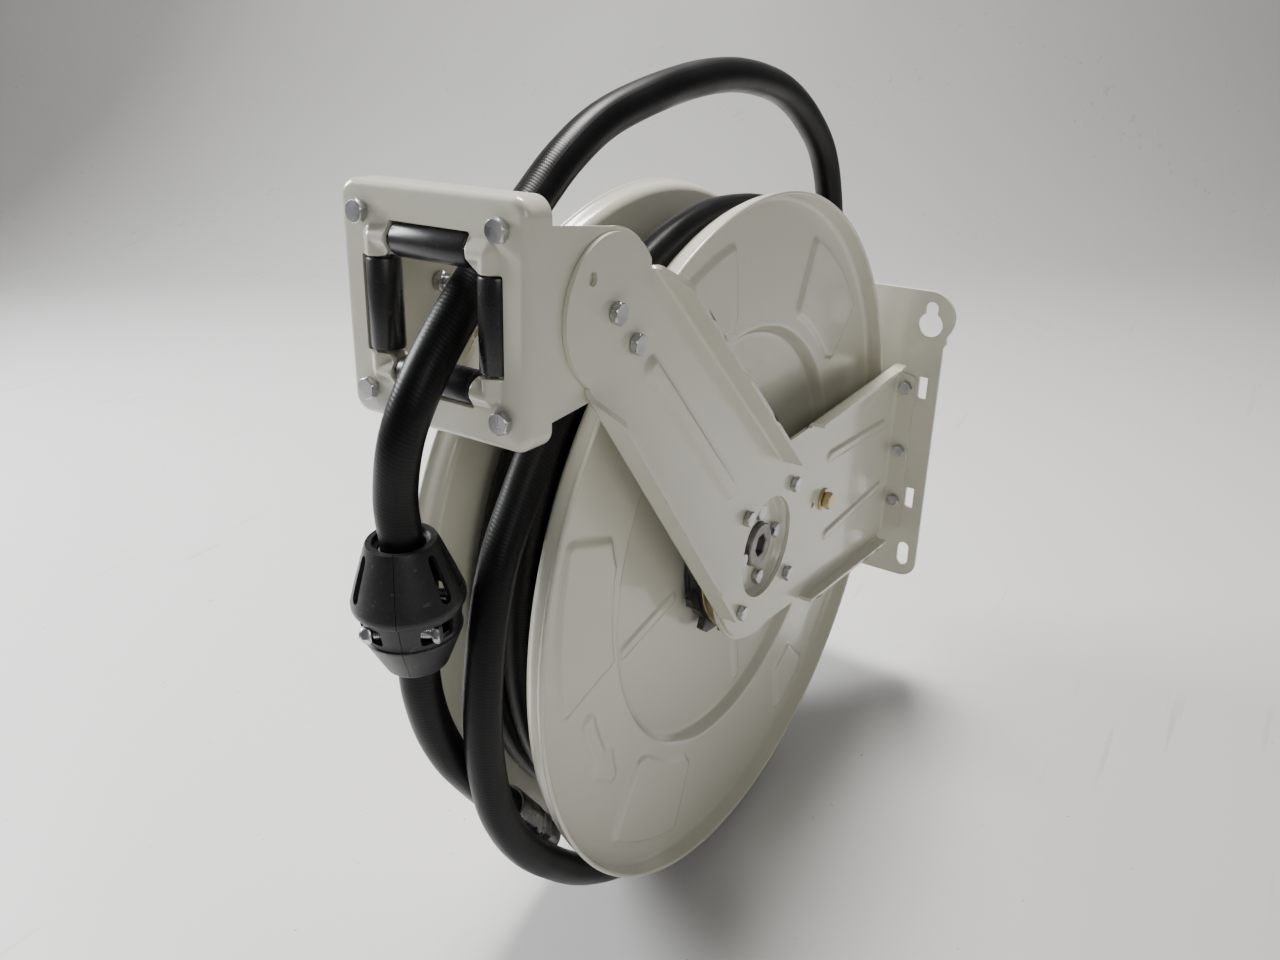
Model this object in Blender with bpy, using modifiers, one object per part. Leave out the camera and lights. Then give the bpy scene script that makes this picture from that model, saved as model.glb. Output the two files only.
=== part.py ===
"""Spring hose reel: an open two-disc reel on a double-sided bracket.

Metres, +Z up.  The origin is the middle of the wall plate's rear face, the
drum turns about an axis along X, and the roller guide points to -Y.
"""

from math import acos, cos, pi, radians, sin, tau

import bmesh
import bpy
from mathutils import Matrix, Vector

MM = 0.001

# ---------------------------------------------------------------- clearances
FIT = 0.3 * MM            # gap between pieces that touch
RUN = 0.3 * MM            # radial play of a bore on its pin or shaft

# ---------------------------------------------------------------- wall plate
WALL_WIDTH = 177 * MM
WALL_HEIGHT = 265 * MM
WALL_THICK = 3 * MM
WALL_CORNER = 14 * MM
EAR_RADIUS = 22 * MM
EAR_OVERHANG = 7 * MM     # how far an ear stands out past the plate's side
KEYHOLE_INSET = 12.5 * MM  # keyholes and slots, in from the plate's side
KEYHOLE_DROP = 27.5 * MM  # keyhole centre, below the plate's top edge
KEYHOLE_BORE = 10 * MM
KEYHOLE_NECK = 5 * MM
KEYHOLE_RISE = 14 * MM
SLOT_LIFT = 22.5 * MM     # lower slot centre, above the plate's bottom edge
SLOT_LENGTH = 23 * MM
TAB_SLOT = (7 * MM, 19 * MM)
TAB_SLOT_DROPS = (0.31, 0.70)            # below the top edge, shares of the height

# ---------------------------------------------------------------- drum
DISC_RADIUS = 230 * MM
DISC_SHEET = 1.5 * MM
DISC_PLANE = 35 * MM      # outer face of a disc's panel, from the middle
LIP_REACH = 13 * MM
LIP_FLARE = 2 * MM
DISH_RADIUS = 147 * MM
DISH_DEPTH = 8 * MM
DISH_SLOPE = 8 * MM
BARREL_RADIUS = 122 * MM
BARREL_WALL = 1.5 * MM
WOUND_DEPTH = 24 * MM     # wound hose, below the discs' rims
DISC_STEPS = 40

# ---------------------------------------------------------------- hub
WALL_GAP = 16 * MM        # between the discs' rims and the wall plate
HUB_ABOVE_MOUNT = 12.5 * MM
HUB_FROM_WALL = DISC_RADIUS + WALL_GAP + WALL_THICK
HUB = Vector((0, -HUB_FROM_WALL, HUB_ABOVE_MOUNT))

# ---------------------------------------------------------------- hose
HOSE_RADIUS = 10 * MM
HOSE_POINT_SPACING = 40 * MM

# ---------------------------------------------------------------- arms
ARM_SHEET = 2.5 * MM
ARM_GAP = 3.5 * MM        # between a disc's lip and the arm beside it
BEND_RADIUS = 3 * MM
SUPPORT_TOP = (66 * MM, 56 * MM)        # flange line height, hub end, wall end
SUPPORT_BOTTOM = (-66 * MM, -109 * MM)
SUPPORT_FLANGE = 10 * MM
SUPPORT_FLANGE_START = 69 * MM
WALL_FLANGE = 16 * MM
CUP_RADIUS = 35 * MM
CUP_DEPTH = 5.5 * MM
CUP_TO_BOLTS = 14 * MM
BOLTS_TO_EDGE = 15 * MM
RIM_GAP = 1.6 * MM        # between the discs' rims and the guide's ears
GUIDE_ARM_ANGLE = radians(129.7)        # from +Y towards +Z
GUIDE_ARM_TOP = (51 * MM, 35 * MM)      # flange line offset, hub end, head end
GUIDE_ARM_BOTTOM = (-61 * MM, -38 * MM)
GUIDE_ARM_FLANGE = 14 * MM
GUIDE_FLANGE_START = 30 * MM
GUIDE_FLANGE_STOP = 14.6 * MM           # short of the head bolt

# ---------------------------------------------------------------- roller guide
BOX_HEIGHT = 108 * MM
BOX_DEPTH = 16 * MM
BOX_SHEET = 2 * MM
BOX_REACH = 58.5 * MM     # front face, ahead of the head bolt
BOX_TILT = radians(5.1)
BOX_CORNER = 9 * MM
BOX_BEND = 4 * MM
EAR_DROP = 16 * MM        # ears' round ends, in from the box's top and bottom
HEAD_INSET = 2 * MM       # arm's round head inside the ear's round end
EAR_BOLT_INSET = 11.4 * MM
BOX_BOLT_INSET = 13.7 * MM
ROLLER_RADIUS = 8 * MM
ROLLER_LENGTH = 44 * MM
ROLLER_SLOT_MARGIN = 1.5 * MM
ROLLER_DROP = 24 * MM     # level rollers' axes, in from the box's top and bottom
ROLLER_INSET = 21 * MM    # upright rollers' axes, in from the box's sides
PIN_RADIUS = 3 * MM
PIN_SEAT = 4 * MM         # pin held beyond each end of its roller
RETAINER_SHEET = 1.7 * MM

# ---------------------------------------------------------------- spring side
CASE_RADIUS = 60 * MM
CASE_WALL = 1.5 * MM
COVER_THICK = 1.2 * MM
RATCHET_RIM = 1 * MM      # between the case and the roots of the teeth
RATCHET_THICK = 5 * MM
RATCHET_TEETH = 12
RATCHET_TOOTH = 7 * MM
ARBOR_RADIUS = 12 * MM
ARBOR_NOSE = 15.5 * MM
ARBOR_FLANGE_INSET = 3 * MM
ARBOR_FLANGE_THICK = 3.6 * MM
ARBOR_KEY = 4 * MM
BUSH_WALL = 4.5 * MM
BUSH_LENGTH = 9 * MM
SPRING_STRIP = 1.2 * MM
SPRING_TURNS = 5
PAWL_REACH = 31.8 * MM    # pawl's pivot, beyond the ratchet's teeth
PAWL_DROP = 8.4 * MM      # pawl's pivot, below the hub
PAWL_LENGTH = 36 * MM
PAWL_ANGLE = radians(201)
PAWL_BOSS = 8 * MM
PAWL_BOLT_RADIUS = 4 * MM
PAWL_COLLAR = 6.5 * MM
PAWL_SPRING_WIRE = 0.7 * MM
PAWL_SPRING_TURNS = 3

# ---------------------------------------------------------------- inlet side
SHAFT_RADIUS = 14 * MM
SHAFT_BORE = 6.5 * MM
SHAFT_NOSE = 9 * MM
SHAFT_FLANGE = 34 * MM
SHAFT_FLANGE_THICK = 4 * MM
BEARING_WALL = 5 * MM
SWIVEL_RADIUS = 17 * MM
SWIVEL_LENGTH = 34 * MM
SEAL_SECTION = 2.5 * MM
NIPPLE_RADIUS = 10.4 * MM
NIPPLE_LENGTH = 26 * MM
OUTLET_RADIUS = 7 * MM

# ---------------------------------------------------------------- fasteners
BOLT_RADIUS = 3 * MM      # M6
BOLT_FLATS = 10 * MM
BOLT_HEAD = 4 * MM
NUT_HEIGHT = 4.5 * MM
HUB_OUTER_START = radians(41)
HUB_INNER_INSET = 10 * MM

# ---------------------------------------------------------------- hose end
BALL_RADIUS = 26.7 * MM
BALL_TOP_RADIUS = 16.3 * MM
BALL_TOP_HEIGHT = 33 * MM
BALL_BOTTOM_RADIUS = 14.5 * MM
BALL_BOTTOM_HEIGHT = 34 * MM
BALL_TURN = radians(33)
BALL_SCREW_RADIUS = 2 * MM
BALL_SCREW_SIDE = 17 * MM
FERRULE_WALL = 1.6 * MM
FERRULE_LENGTH = 34 * MM
FITTING_FLATS = 22 * MM
FITTING_HEX = 11 * MM
FITTING_THREAD = 10.4 * MM
FITTING_THREAD_LENGTH = 15 * MM
FITTING_BORE = 6 * MM

# The loose turn of hose: (x, y, z) from the hub, chosen by hand.  It leaves
# the coil at the top, goes down the front, under the drum and up behind it,
# over the top and out through the rollers.
LOOSE_TURN = [
    (20, 60, 209), (20, 20, 217), (20, -30, 220), (21, -85, 210), (22, -135, 187),
    (22, -180, 149), (22, -207, 118), (22, -226, 90), (22, -239, 54), (22, -246, 18),
    (22, -248, -18), (22, -243, -55), (22, -228, -92), (22, -205, -126), (22, -172, -163),
    (21, -122, -200), (20, -62, -222), (18, 0, -230), (15, 62, -220), (12, 118, -193),
    (9, 165, -153), (6, 198, -104), (3, 217, -45), (1, 222, 12), (0, 219, 70),
    (0, 214, 125), (0, 203, 182), (0, 184, 226), (0, 151, 256), (0, 109, 278),
    (0, 58, 290), (0, 8, 293), (0, -45, 289), (0, -96, 280), (2, -134, 266),
    (5, -166, 249), (8, -199, 231), (10, -228, 211), (10, -250, 190), (6, -262, 166),
]
# The hanging end: straight through the ball, then back under the drum.
BALL_CENTRE = (0, -264, 84)
HANGING_END = [
    (0, -264, 138), (0, -264, 118), (0, -264, 48), (0, -264, 30),
    (0, -260, 6), (0, -252, -18), (0, -241, -40), (0, -226, -66), (0, -211, -91),
    (0, -197, -114),
]

# ---------------------------------------------------------------- finishes
FINISHES = {
    "paint": ((0.72, 0.70, 0.65), 0.32, 0.0),
    "zinc": ((0.60, 0.61, 0.62), 0.34, 1.0),
    "yellow_zinc": ((0.62, 0.52, 0.30), 0.36, 1.0),
    "steel": ((0.32, 0.31, 0.31), 0.42, 1.0),
    "black_steel": ((0.035, 0.035, 0.036), 0.50, 0.0),
    "spring_steel": ((0.22, 0.22, 0.24), 0.38, 1.0),
    "bronze": ((0.55, 0.38, 0.20), 0.40, 1.0),
    "brass": ((0.70, 0.55, 0.28), 0.34, 1.0),
    "rubber": ((0.016, 0.016, 0.017), 0.62, 0.0),
    "nylon": ((0.018, 0.018, 0.019), 0.42, 0.0),
    "moulding": ((0.028, 0.029, 0.031), 0.48, 0.0),
}

# ---------------------------------------------------------------- derived
KEYHOLE_SIDE = WALL_WIDTH / 2 - KEYHOLE_INSET
WALL_FRONT = HUB_FROM_WALL - WALL_THICK             # from the hub, along +Y
ARM_REAR = WALL_FRONT - FIT - ARM_SHEET
ARM_PLANE = DISC_PLANE + LIP_REACH + ARM_GAP + ARM_SHEET   # outer face of a support arm
GUIDE_ARM_PLANE = ARM_PLANE + FIT + ARM_SHEET
EAR_PLANE = GUIDE_ARM_PLANE - ARM_SHEET - FIT
EAR_END = BOX_HEIGHT / 2 - EAR_DROP
HEAD_RADIUS = EAR_END - HEAD_INSET
EAR_BOLT_PITCH = HEAD_RADIUS - EAR_BOLT_INSET
ROLLER_ROW = BOX_HEIGHT / 2 - ROLLER_DROP
ROLLER_COLUMN = EAR_PLANE - ROLLER_INSET
WOUND_RADIUS = DISC_RADIUS - WOUND_DEPTH
RATCHET_ROOT = CASE_RADIUS + RATCHET_RIM
RATCHET_TIP = RATCHET_ROOT + RATCHET_TOOTH
PAWL_PIVOT = (RATCHET_TIP + PAWL_REACH, -PAWL_DROP)
ARBOR_FLANGE = CUP_RADIUS - ARBOR_FLANGE_INSET
HUB_INNER_CIRCLE = CUP_RADIUS - HUB_INNER_INSET
GUIDE_ARM_LENGTH = DISC_RADIUS + RIM_GAP + EAR_END
GUIDE_FLANGE_SPAN = (GUIDE_FLANGE_START, GUIDE_ARM_LENGTH - GUIDE_FLANGE_STOP)
HUB_OUTER_CIRCLE = CUP_RADIUS + CUP_TO_BOLTS
GUIDE_ARM_ROUND = HUB_OUTER_CIRCLE + BOLTS_TO_EDGE
SUPPORT_ROUND = GUIDE_ARM_ROUND + 2 * MM
CUP_FLOOR = ARM_PLANE - CUP_DEPTH
CUP_FLOOR_INNER = CUP_FLOOR - ARM_SHEET
FLANGE_OUTER = CUP_FLOOR_INNER - FIT
FLANGE_INNER = FLANGE_OUTER - ARBOR_FLANGE_THICK
DISH_PLANE = DISC_PLANE - DISH_DEPTH
COVER_END = FLANGE_INNER - FIT
CASE_START = DISH_PLANE + FIT
CASE_END = COVER_END - COVER_THICK - FIT
BOLT_HOLE = BOLT_RADIUS + RUN
BUSH_OUTER = ARBOR_RADIUS + RUN + BUSH_WALL
HUB_HOLE = BUSH_OUTER + FIT
BOX_BOLTS = (EAR_PLANE - BOX_BOLT_INSET, BOX_HEIGHT / 2 - BOX_BOLT_INSET)
FRONT_INNER = BOX_REACH - BOX_SHEET
PIN_PLANE = FRONT_INNER - FIT - PIN_RADIUS
RETAINER_FRONT = PIN_PLANE - PIN_RADIUS - FIT
RETAINER_BACK = RETAINER_FRONT - RETAINER_SHEET
HUB_OUTER_ANGLES = [HUB_OUTER_START + k * pi / 2 for k in range(4)]
HUB_INNER_ANGLES = [k * pi / 2 for k in range(4)]


# ================================================================ helpers
def finish_material(name):
    """Return the Principled material of a finish, made on first use."""
    material = bpy.data.materials.get(name)
    if material is None:
        colour, roughness, metallic = FINISHES[name]
        material = bpy.data.materials.new(name)
        material.use_nodes = True
        shader = material.node_tree.nodes["Principled BSDF"]
        shader.inputs["Base Color"].default_value = (*colour, 1)
        shader.inputs["Roughness"].default_value = roughness
        shader.inputs["Metallic"].default_value = metallic
    return material


def make_object(name, mesh, finish, matrix=None):
    """Link a mesh as a named part with its own copy of a finish."""
    obj = bpy.data.objects.new(name, mesh)
    bpy.data.collections["hose_reel"].objects.link(obj)
    material = finish_material(finish).copy()
    material.name = name + "_" + finish
    mesh.materials.append(material)
    mesh.shade_smooth()
    mesh.set_sharp_from_angle(angle=radians(35))
    if matrix is not None:
        obj.matrix_world = matrix
    return obj


def along(origin, direction):
    """Matrix that puts local +Z along a direction, at an origin."""
    turn = Vector(direction).to_track_quat("Z", "X").to_matrix().to_4x4()
    return Matrix.Translation(Vector(origin)) @ turn


def hub_axis(side=1):
    """Frame on the drum's axis whose +Z points out through one side."""
    return along(HUB, (side, 0, 0))


def circle(centre, radius, count, start=0.0, sweep=tau):
    """Points of a circle or arc in a plane; a full circle isn't closed."""
    steps = count if sweep >= tau else count - 1
    turns = [start + sweep * k / steps for k in range(count)]
    return [(centre[0] + radius * cos(t), centre[1] + radius * sin(t)) for t in turns]


def mesh_from_bmesh(name, bm):
    """Turn a bmesh into a mesh with outward normals."""
    bmesh.ops.remove_doubles(bm, verts=bm.verts, dist=1e-6)
    bmesh.ops.recalc_face_normals(bm, faces=bm.faces)
    mesh = bpy.data.meshes.new(name)
    bm.to_mesh(mesh)
    bm.free()
    return mesh


def lathe(name, profile, finish, matrix, steps=24):
    """Turn a closed (radius, height) profile about local Z with a Screw.

    A profile that starts and ends on the axis is left open there.  The order
    is set so that the outer side runs downwards, which faces it outwards.
    """
    pairs = list(zip(profile, profile[1:] + profile[:1]))
    if sum(a[0] * b[1] - b[0] * a[1] for a, b in pairs) > 0:
        profile = profile[::-1]
    bm = bmesh.new()
    verts = [bm.verts.new((radius, 0, height)) for radius, height in profile]
    for a, b in zip(verts, verts[1:]):
        bm.edges.new((a, b))
    if profile[0][0] > 0 or profile[-1][0] > 0:
        bm.edges.new((verts[-1], verts[0]))
    mesh = bpy.data.meshes.new(name)
    bm.to_mesh(mesh)
    bm.free()
    obj = make_object(name, mesh, finish, matrix)
    add_screw(obj, steps)
    return obj


def add_screw(obj, steps):
    """Give an object a full-turn Screw about its local Z."""
    screw = obj.modifiers.new("turned", "SCREW")
    screw.axis = "Z"
    screw.steps = steps
    screw.render_steps = steps
    screw.use_merge_vertices = True
    screw.merge_threshold = 1e-5
    screw.use_smooth_shade = True


def hexagon_ring(flats, sides=12):
    """Points of a hexagon's outline: its corners, or middles of flats too."""
    corner = flats / 2 / cos(pi / 6)
    radii = [corner if sides == 6 or k % 2 == 0 else flats / 2 for k in range(sides)]
    return [(radii[k] * cos(tau * k / sides), radii[k] * sin(tau * k / sides)) for k in range(sides)]


def loft(name, rings, finish, matrix):
    """Closed body through rings of equal point count: [(points, height)]."""
    bm = bmesh.new()
    rows = [[bm.verts.new((x, y, height)) for x, y in points] for points, height in rings]
    for lower, upper in zip(rows, rows[1:]):
        for k in range(len(lower)):
            n = (k + 1) % len(lower)
            bm.faces.new((lower[k], lower[n], upper[n], upper[k]))
    bm.faces.new(rows[0])
    bm.faces.new(rows[-1])
    return make_object(name, mesh_from_bmesh(name, bm), finish, matrix)


def bolt(name, seat, direction, grip, nut=True, finish="zinc"):
    """Hex bolt seated at a point; its nut is part of the same body."""
    shank = circle((0, 0), BOLT_RADIUS, 6)
    head = hexagon_ring(BOLT_FLATS, 6)
    rings = [(head, FIT + BOLT_HEAD), (head, FIT), (shank, FIT), (shank, -grip - FIT)]
    if nut:
        rings += [(head, -grip - FIT), (head, -grip - FIT - NUT_HEIGHT)]
    return loft(name, rings, finish, along(seat, direction))


def smooth_route(points, spacing):
    """Read evenly spaced points from a smooth curve through hand-set ones."""
    fine = []
    for k in range(len(points) - 1):
        before = points[max(k - 1, 0)]
        after = points[min(k + 2, len(points) - 1)]
        here, there = points[k], points[k + 1]
        for step in range(12):
            t = step / 12
            pull_in = (there - before) / 2
            pull_out = (after - here) / 2
            a = 2 * (here - there) + pull_in + pull_out
            b = 3 * (there - here) - 2 * pull_in - pull_out
            fine.append(here + t * pull_in + t * t * b + t * t * t * a)
    fine.append(points[-1])
    total = sum((q - p).length for p, q in zip(fine, fine[1:]))
    count = round(total / spacing)
    route, walked, target = [fine[0]], 0.0, total / count
    for p, q in zip(fine, fine[1:]):
        length = (q - p).length
        while walked + length >= target - 1e-9 and len(route) < count:
            route.append(p.lerp(q, (target - walked) / length))
            target += total / count
        walked += length
    return route + [fine[-1]]


def tube(name, points, radius, finish, origin, resolution=2):
    """Round tube or cord through points, as a closed mesh."""
    curve = bpy.data.curves.new(name, "CURVE")
    curve.dimensions = "3D"
    curve.bevel_depth = radius
    curve.bevel_resolution = resolution
    curve.use_fill_caps = True
    curve.render_resolution_u = 0
    spline = curve.splines.new("POLY")
    spline.points.add(len(points) - 1)
    for knot, point in zip(spline.points, points):
        knot.co = (*(Vector(point) - Vector(origin)), 1)
    guide = bpy.data.objects.new(name + "_route", curve)
    mesh = bpy.data.meshes.new_from_object(guide)
    bpy.data.objects.remove(guide)
    bm = bmesh.new()
    bm.from_mesh(mesh)
    bpy.data.meshes.remove(mesh)
    return make_object(name, mesh_from_bmesh(name, bm), finish, Matrix.Translation(Vector(origin)))


class Sheet:
    """Sheet metal drawn as its outer surface, then given its thickness."""

    def __init__(self, thickness):
        self.bm = bmesh.new()
        self.thickness = thickness

    def loop(self, points):
        """Closed wire through 3-D points."""
        verts = [self.bm.verts.new(p) for p in points]
        for a, b in zip(verts, verts[1:] + verts[:1]):
            self.bm.edges.new((a, b))
        return verts

    def fill(self, loops):
        """Face between an outline and the holes in it."""
        edges = set()
        for verts in loops:
            for a, b in zip(verts, verts[1:] + verts[:1]):
                edges.add(self.bm.edges.get((a, b)))
        bmesh.ops.triangle_fill(self.bm, edges=list(edges), use_beauty=True)

    def skirt(self, verts, points):
        """Strip from a closed loop to a second loop of the same count."""
        outer = [self.bm.verts.new(p) for p in points]
        for k in range(len(verts)):
            n = (k + 1) % len(verts)
            self.bm.faces.new((verts[k], verts[n], outer[n], outer[k]))
        return outer

    def flange(self, verts, outward, up, width):
        """Bend a flange up from an open run of outline vertices."""
        steps = 2
        moves = [(sin(pi / 2 * k / steps), 1 - cos(pi / 2 * k / steps)) for k in range(1, steps + 1)]
        shifts = [outward * BEND_RADIUS * a + up * BEND_RADIUS * b for a, b in moves]
        shifts.append(outward * BEND_RADIUS + up * width)
        row, starts = list(verts), [v.co.copy() for v in verts]
        for shift in shifts:
            fresh = [self.bm.verts.new(co + shift) for co in starts]
            for k in range(len(row) - 1):
                self.bm.faces.new((row[k], row[k + 1], fresh[k + 1], fresh[k]))
            row = fresh

    def finish(self, name, finish, matrix, facing, mirror=False):
        """Orient the surface, give it thickness and link the part."""
        bmesh.ops.recalc_face_normals(self.bm, faces=self.bm.faces)
        self.bm.faces.ensure_lookup_table()
        largest = max(self.bm.faces, key=lambda face: face.calc_area())
        if largest.normal.dot(Vector(facing)) < 0:
            bmesh.ops.reverse_faces(self.bm, faces=self.bm.faces)
        if mirror:
            bmesh.ops.scale(self.bm, verts=self.bm.verts, vec=(-1, 1, 1))
            bmesh.ops.reverse_faces(self.bm, faces=self.bm.faces)
        mesh = bpy.data.meshes.new(name)
        self.bm.to_mesh(mesh)
        self.bm.free()
        obj = make_object(name, mesh, finish, matrix)
        solidify = obj.modifiers.new("sheet", "SOLIDIFY")
        solidify.thickness = self.thickness
        solidify.offset = -1
        solidify.use_even_offset = True
        return obj


def plate(name, outline, holes, outer_plane, thickness, finish, matrix, mirror=False):
    """Flat plate in a plane of constant x with holes right through it."""
    sheet = Sheet(thickness)
    loops = [sheet.loop([(outer_plane, y, z) for y, z in run]) for run in [outline] + holes]
    sheet.fill(loops)
    return sheet.finish(name, finish, matrix, (1, 0, 0), mirror)


# ================================================================ wall plate
def build_wall_plate():
    """Wall plate with keyholes above and slots below, mirrored about x = 0."""
    half, top, bottom = WALL_WIDTH / 2, WALL_HEIGHT / 2, -WALL_HEIGHT / 2
    ear_x = half + EAR_OVERHANG - EAR_RADIUS
    ear_z = top - EAR_RADIUS
    drop = acos((half - ear_x) / EAR_RADIUS)
    right = circle((half - WALL_CORNER, bottom + WALL_CORNER), WALL_CORNER, 6, -pi / 2, pi / 2)
    right += circle((ear_x, ear_z), EAR_RADIUS, 12, -drop, drop + pi / 2)
    outline = right + [(-x, z) for x, z in reversed(right)]
    key_z = top - KEYHOLE_DROP
    neck = acos(KEYHOLE_NECK / KEYHOLE_BORE)
    keyhole = circle((KEYHOLE_SIDE, key_z), KEYHOLE_BORE, 15, pi - neck, pi + 2 * neck)
    keyhole += circle((KEYHOLE_SIDE, key_z + KEYHOLE_RISE), KEYHOLE_NECK, 7, 0, pi)
    slot_z, reach = bottom + SLOT_LIFT, SLOT_LENGTH / 2 - KEYHOLE_NECK
    slot = circle((KEYHOLE_SIDE, slot_z + reach), KEYHOLE_NECK, 7, 0, pi)
    slot += circle((KEYHOLE_SIDE, slot_z - reach), KEYHOLE_NECK, 7, pi, pi)
    holes = [keyhole, slot]
    for tab_drop in TAB_SLOT_DROPS:
        w, h, z = TAB_SLOT[0] / 2, TAB_SLOT[1] / 2, top - tab_drop * WALL_HEIGHT
        holes.append([(KEYHOLE_SIDE + sx * w, z + sz * h) for sx, sz in ((-1, -1), (1, -1), (1, 1), (-1, 1))])
    holes += [[(-x, z) for x, z in reversed(run)] for run in holes]
    sheet = Sheet(WALL_THICK)
    loops = [sheet.loop([(x, -WALL_THICK, z) for x, z in run]) for run in [outline] + holes]
    sheet.fill(loops)
    sheet.finish("wall_plate", "paint", Matrix.Identity(4), (0, -1, 0))


# ================================================================ arms
def hub_bolt_holes(angles, pitch, plane):
    """Clearance holes on a bolt circle about the hub."""
    centres = [(pitch * cos(a), pitch * sin(a)) for a in angles]
    return [[(plane, y, z) for y, z in circle(c, BOLT_HOLE, 8)] for c in centres]


def build_support_arm(name, mirror):
    """Arm from the wall plate to the hub, with the pressed bearing cup."""
    x = ARM_PLANE
    rear = ARM_REAR - BEND_RADIUS
    start = SUPPORT_FLANGE_START

    def edge(line, y):
        return line[0] + (line[1] - line[0]) * y / ARM_REAR

    def flange_line(line, y):
        side = 1 if line[0] > 0 else -1
        return edge(line, y) - side * BEND_RADIUS

    stop = rear - 4 * MM
    top = [(start - 3 * MM, edge(SUPPORT_TOP, start)), (start, flange_line(SUPPORT_TOP, start))]
    top += [(stop, flange_line(SUPPORT_TOP, stop)), (rear, flange_line(SUPPORT_TOP, stop) - 4 * MM)]
    low = [(start - 3 * MM, edge(SUPPORT_BOTTOM, start)), (start, flange_line(SUPPORT_BOTTOM, start))]
    low += [(stop, flange_line(SUPPORT_BOTTOM, stop)), (rear, flange_line(SUPPORT_BOTTOM, stop) + 4 * MM)]
    nose = circle((0, 0), SUPPORT_ROUND, 17, pi / 2, pi)
    outline = nose + low + top[::-1]
    sheet = Sheet(ARM_SHEET)
    verts = sheet.loop([(x, y, z) for y, z in outline])
    at = {point: verts[k] for k, point in enumerate(outline)}
    sheet.flange([at[low[2]], at[low[1]]], Vector((0, 0, -1)), Vector((1, 0, 0)), SUPPORT_FLANGE)
    sheet.flange([at[top[1]], at[top[2]]], Vector((0, 0, 1)), Vector((1, 0, 0)), SUPPORT_FLANGE)
    sheet.flange([at[top[3]], at[low[3]]], Vector((0, 1, 0)), Vector((1, 0, 0)), WALL_FLANGE)
    rim = sheet.loop([(x, y, z) for y, z in circle((0, 0), CUP_RADIUS, 20)])
    holes = [sheet.loop(run) for run in hub_bolt_holes(HUB_OUTER_ANGLES, HUB_OUTER_CIRCLE, x)]
    pivot = sheet.loop([(x, y, z) for y, z in circle(PAWL_PIVOT, PAWL_BOLT_RADIUS + 2 * RUN, 8)])
    sheet.fill([verts, rim, pivot] + holes)
    wall = sheet.skirt(rim, [(CUP_FLOOR, y, z) for y, z in circle((0, 0), CUP_RADIUS - 2 * MM, 20)])
    bore = sheet.loop([(CUP_FLOOR, y, z) for y, z in circle((0, 0), ARBOR_NOSE + 2 * FIT, 16)])
    inner = [sheet.loop(run) for run in hub_bolt_holes(HUB_INNER_ANGLES, HUB_INNER_CIRCLE, CUP_FLOOR)]
    sheet.fill([wall, bore] + inner)
    sheet.finish(name, "paint", Matrix.Translation(HUB), (1, 0, 0), mirror)


def arm_point(s, h):
    """Point s along the guide arm and h to its upper side, about the hub."""
    u = Vector((cos(GUIDE_ARM_ANGLE), sin(GUIDE_ARM_ANGLE)))
    n = Vector((sin(GUIDE_ARM_ANGLE), -cos(GUIDE_ARM_ANGLE)))
    return tuple(u * s + n * h)


def build_guide_arm(name, mirror):
    """Arm from the hub up to the roller guide, flanged along both sides."""
    x = GUIDE_ARM_PLANE
    first, last = GUIDE_FLANGE_SPAN

    def upper(s):
        share = (s - first) / (last - first)
        return GUIDE_ARM_TOP[0] + (GUIDE_ARM_TOP[1] - GUIDE_ARM_TOP[0]) * share

    def lower(s):
        share = (s - first) / (last - first)
        return GUIDE_ARM_BOTTOM[0] + (GUIDE_ARM_BOTTOM[1] - GUIDE_ARM_BOTTOM[0]) * share

    top = [(first, upper(first) - BEND_RADIUS), (last, upper(last) - BEND_RADIUS)]
    low = [(last, lower(last) + BEND_RADIUS), (first, lower(first) + BEND_RADIUS)]
    spread = radians(100)
    head = circle((GUIDE_ARM_LENGTH, 0), HEAD_RADIUS, 15, spread, -2 * spread)
    tail = circle((0, 0), GUIDE_ARM_ROUND, 19, -radians(66), -radians(228))
    outline = top + head + low + tail
    places = [arm_point(s, h) for s, h in outline]
    sheet = Sheet(ARM_SHEET)
    verts = sheet.loop([(x, y, z) for y, z in places])
    at = {point: verts[k] for k, point in enumerate(outline)}
    side = Vector((0, *arm_point(0, 1)))
    sheet.flange([at[top[0]], at[top[1]]], side, Vector((1, 0, 0)), GUIDE_ARM_FLANGE)
    sheet.flange([at[low[0]], at[low[1]]], -side, Vector((1, 0, 0)), GUIDE_ARM_FLANGE)
    rim = sheet.loop([(x, y, z) for y, z in circle((0, 0), CUP_RADIUS + 2 * FIT, 20)])
    holes = [sheet.loop(run) for run in hub_bolt_holes(HUB_OUTER_ANGLES, HUB_OUTER_CIRCLE, x)]
    for step in (-1, 0, 1):
        centre = arm_point(GUIDE_ARM_LENGTH + step * EAR_BOLT_PITCH, 0)
        holes.append(sheet.loop([(x, y, z) for y, z in circle(centre, BOLT_HOLE, 8)]))
    sheet.fill([verts, rim] + holes)
    sheet.finish(name, "paint", Matrix.Translation(HUB), (1, 0, 0), mirror)


# ================================================================ roller guide
def guide_frame():
    """Frame of the roller guide: origin at the head bolts, +Y to the rear."""
    head = arm_point(GUIDE_ARM_LENGTH, 0)
    place = Matrix.Translation(HUB + Vector((0, *head)))
    return place @ Matrix.Rotation(-BOX_TILT, 4, "X")


def rounded_box(half_x, half_z, corner, stop):
    """Rectangle with round corners and two stops on each upright side."""
    signs = ((1, 1), (-1, 1), (-1, -1), (1, -1))
    points = []
    for k, (sx, sz) in enumerate(signs):
        centre = (sx * (half_x - corner), sz * (half_z - corner))
        points += circle(centre, corner, 3, k * pi / 2, pi / 2)
        if k % 2 == 1:
            points += [(sx * half_x, sz * stop), (sx * half_x, -sz * stop)]
    return points


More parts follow.
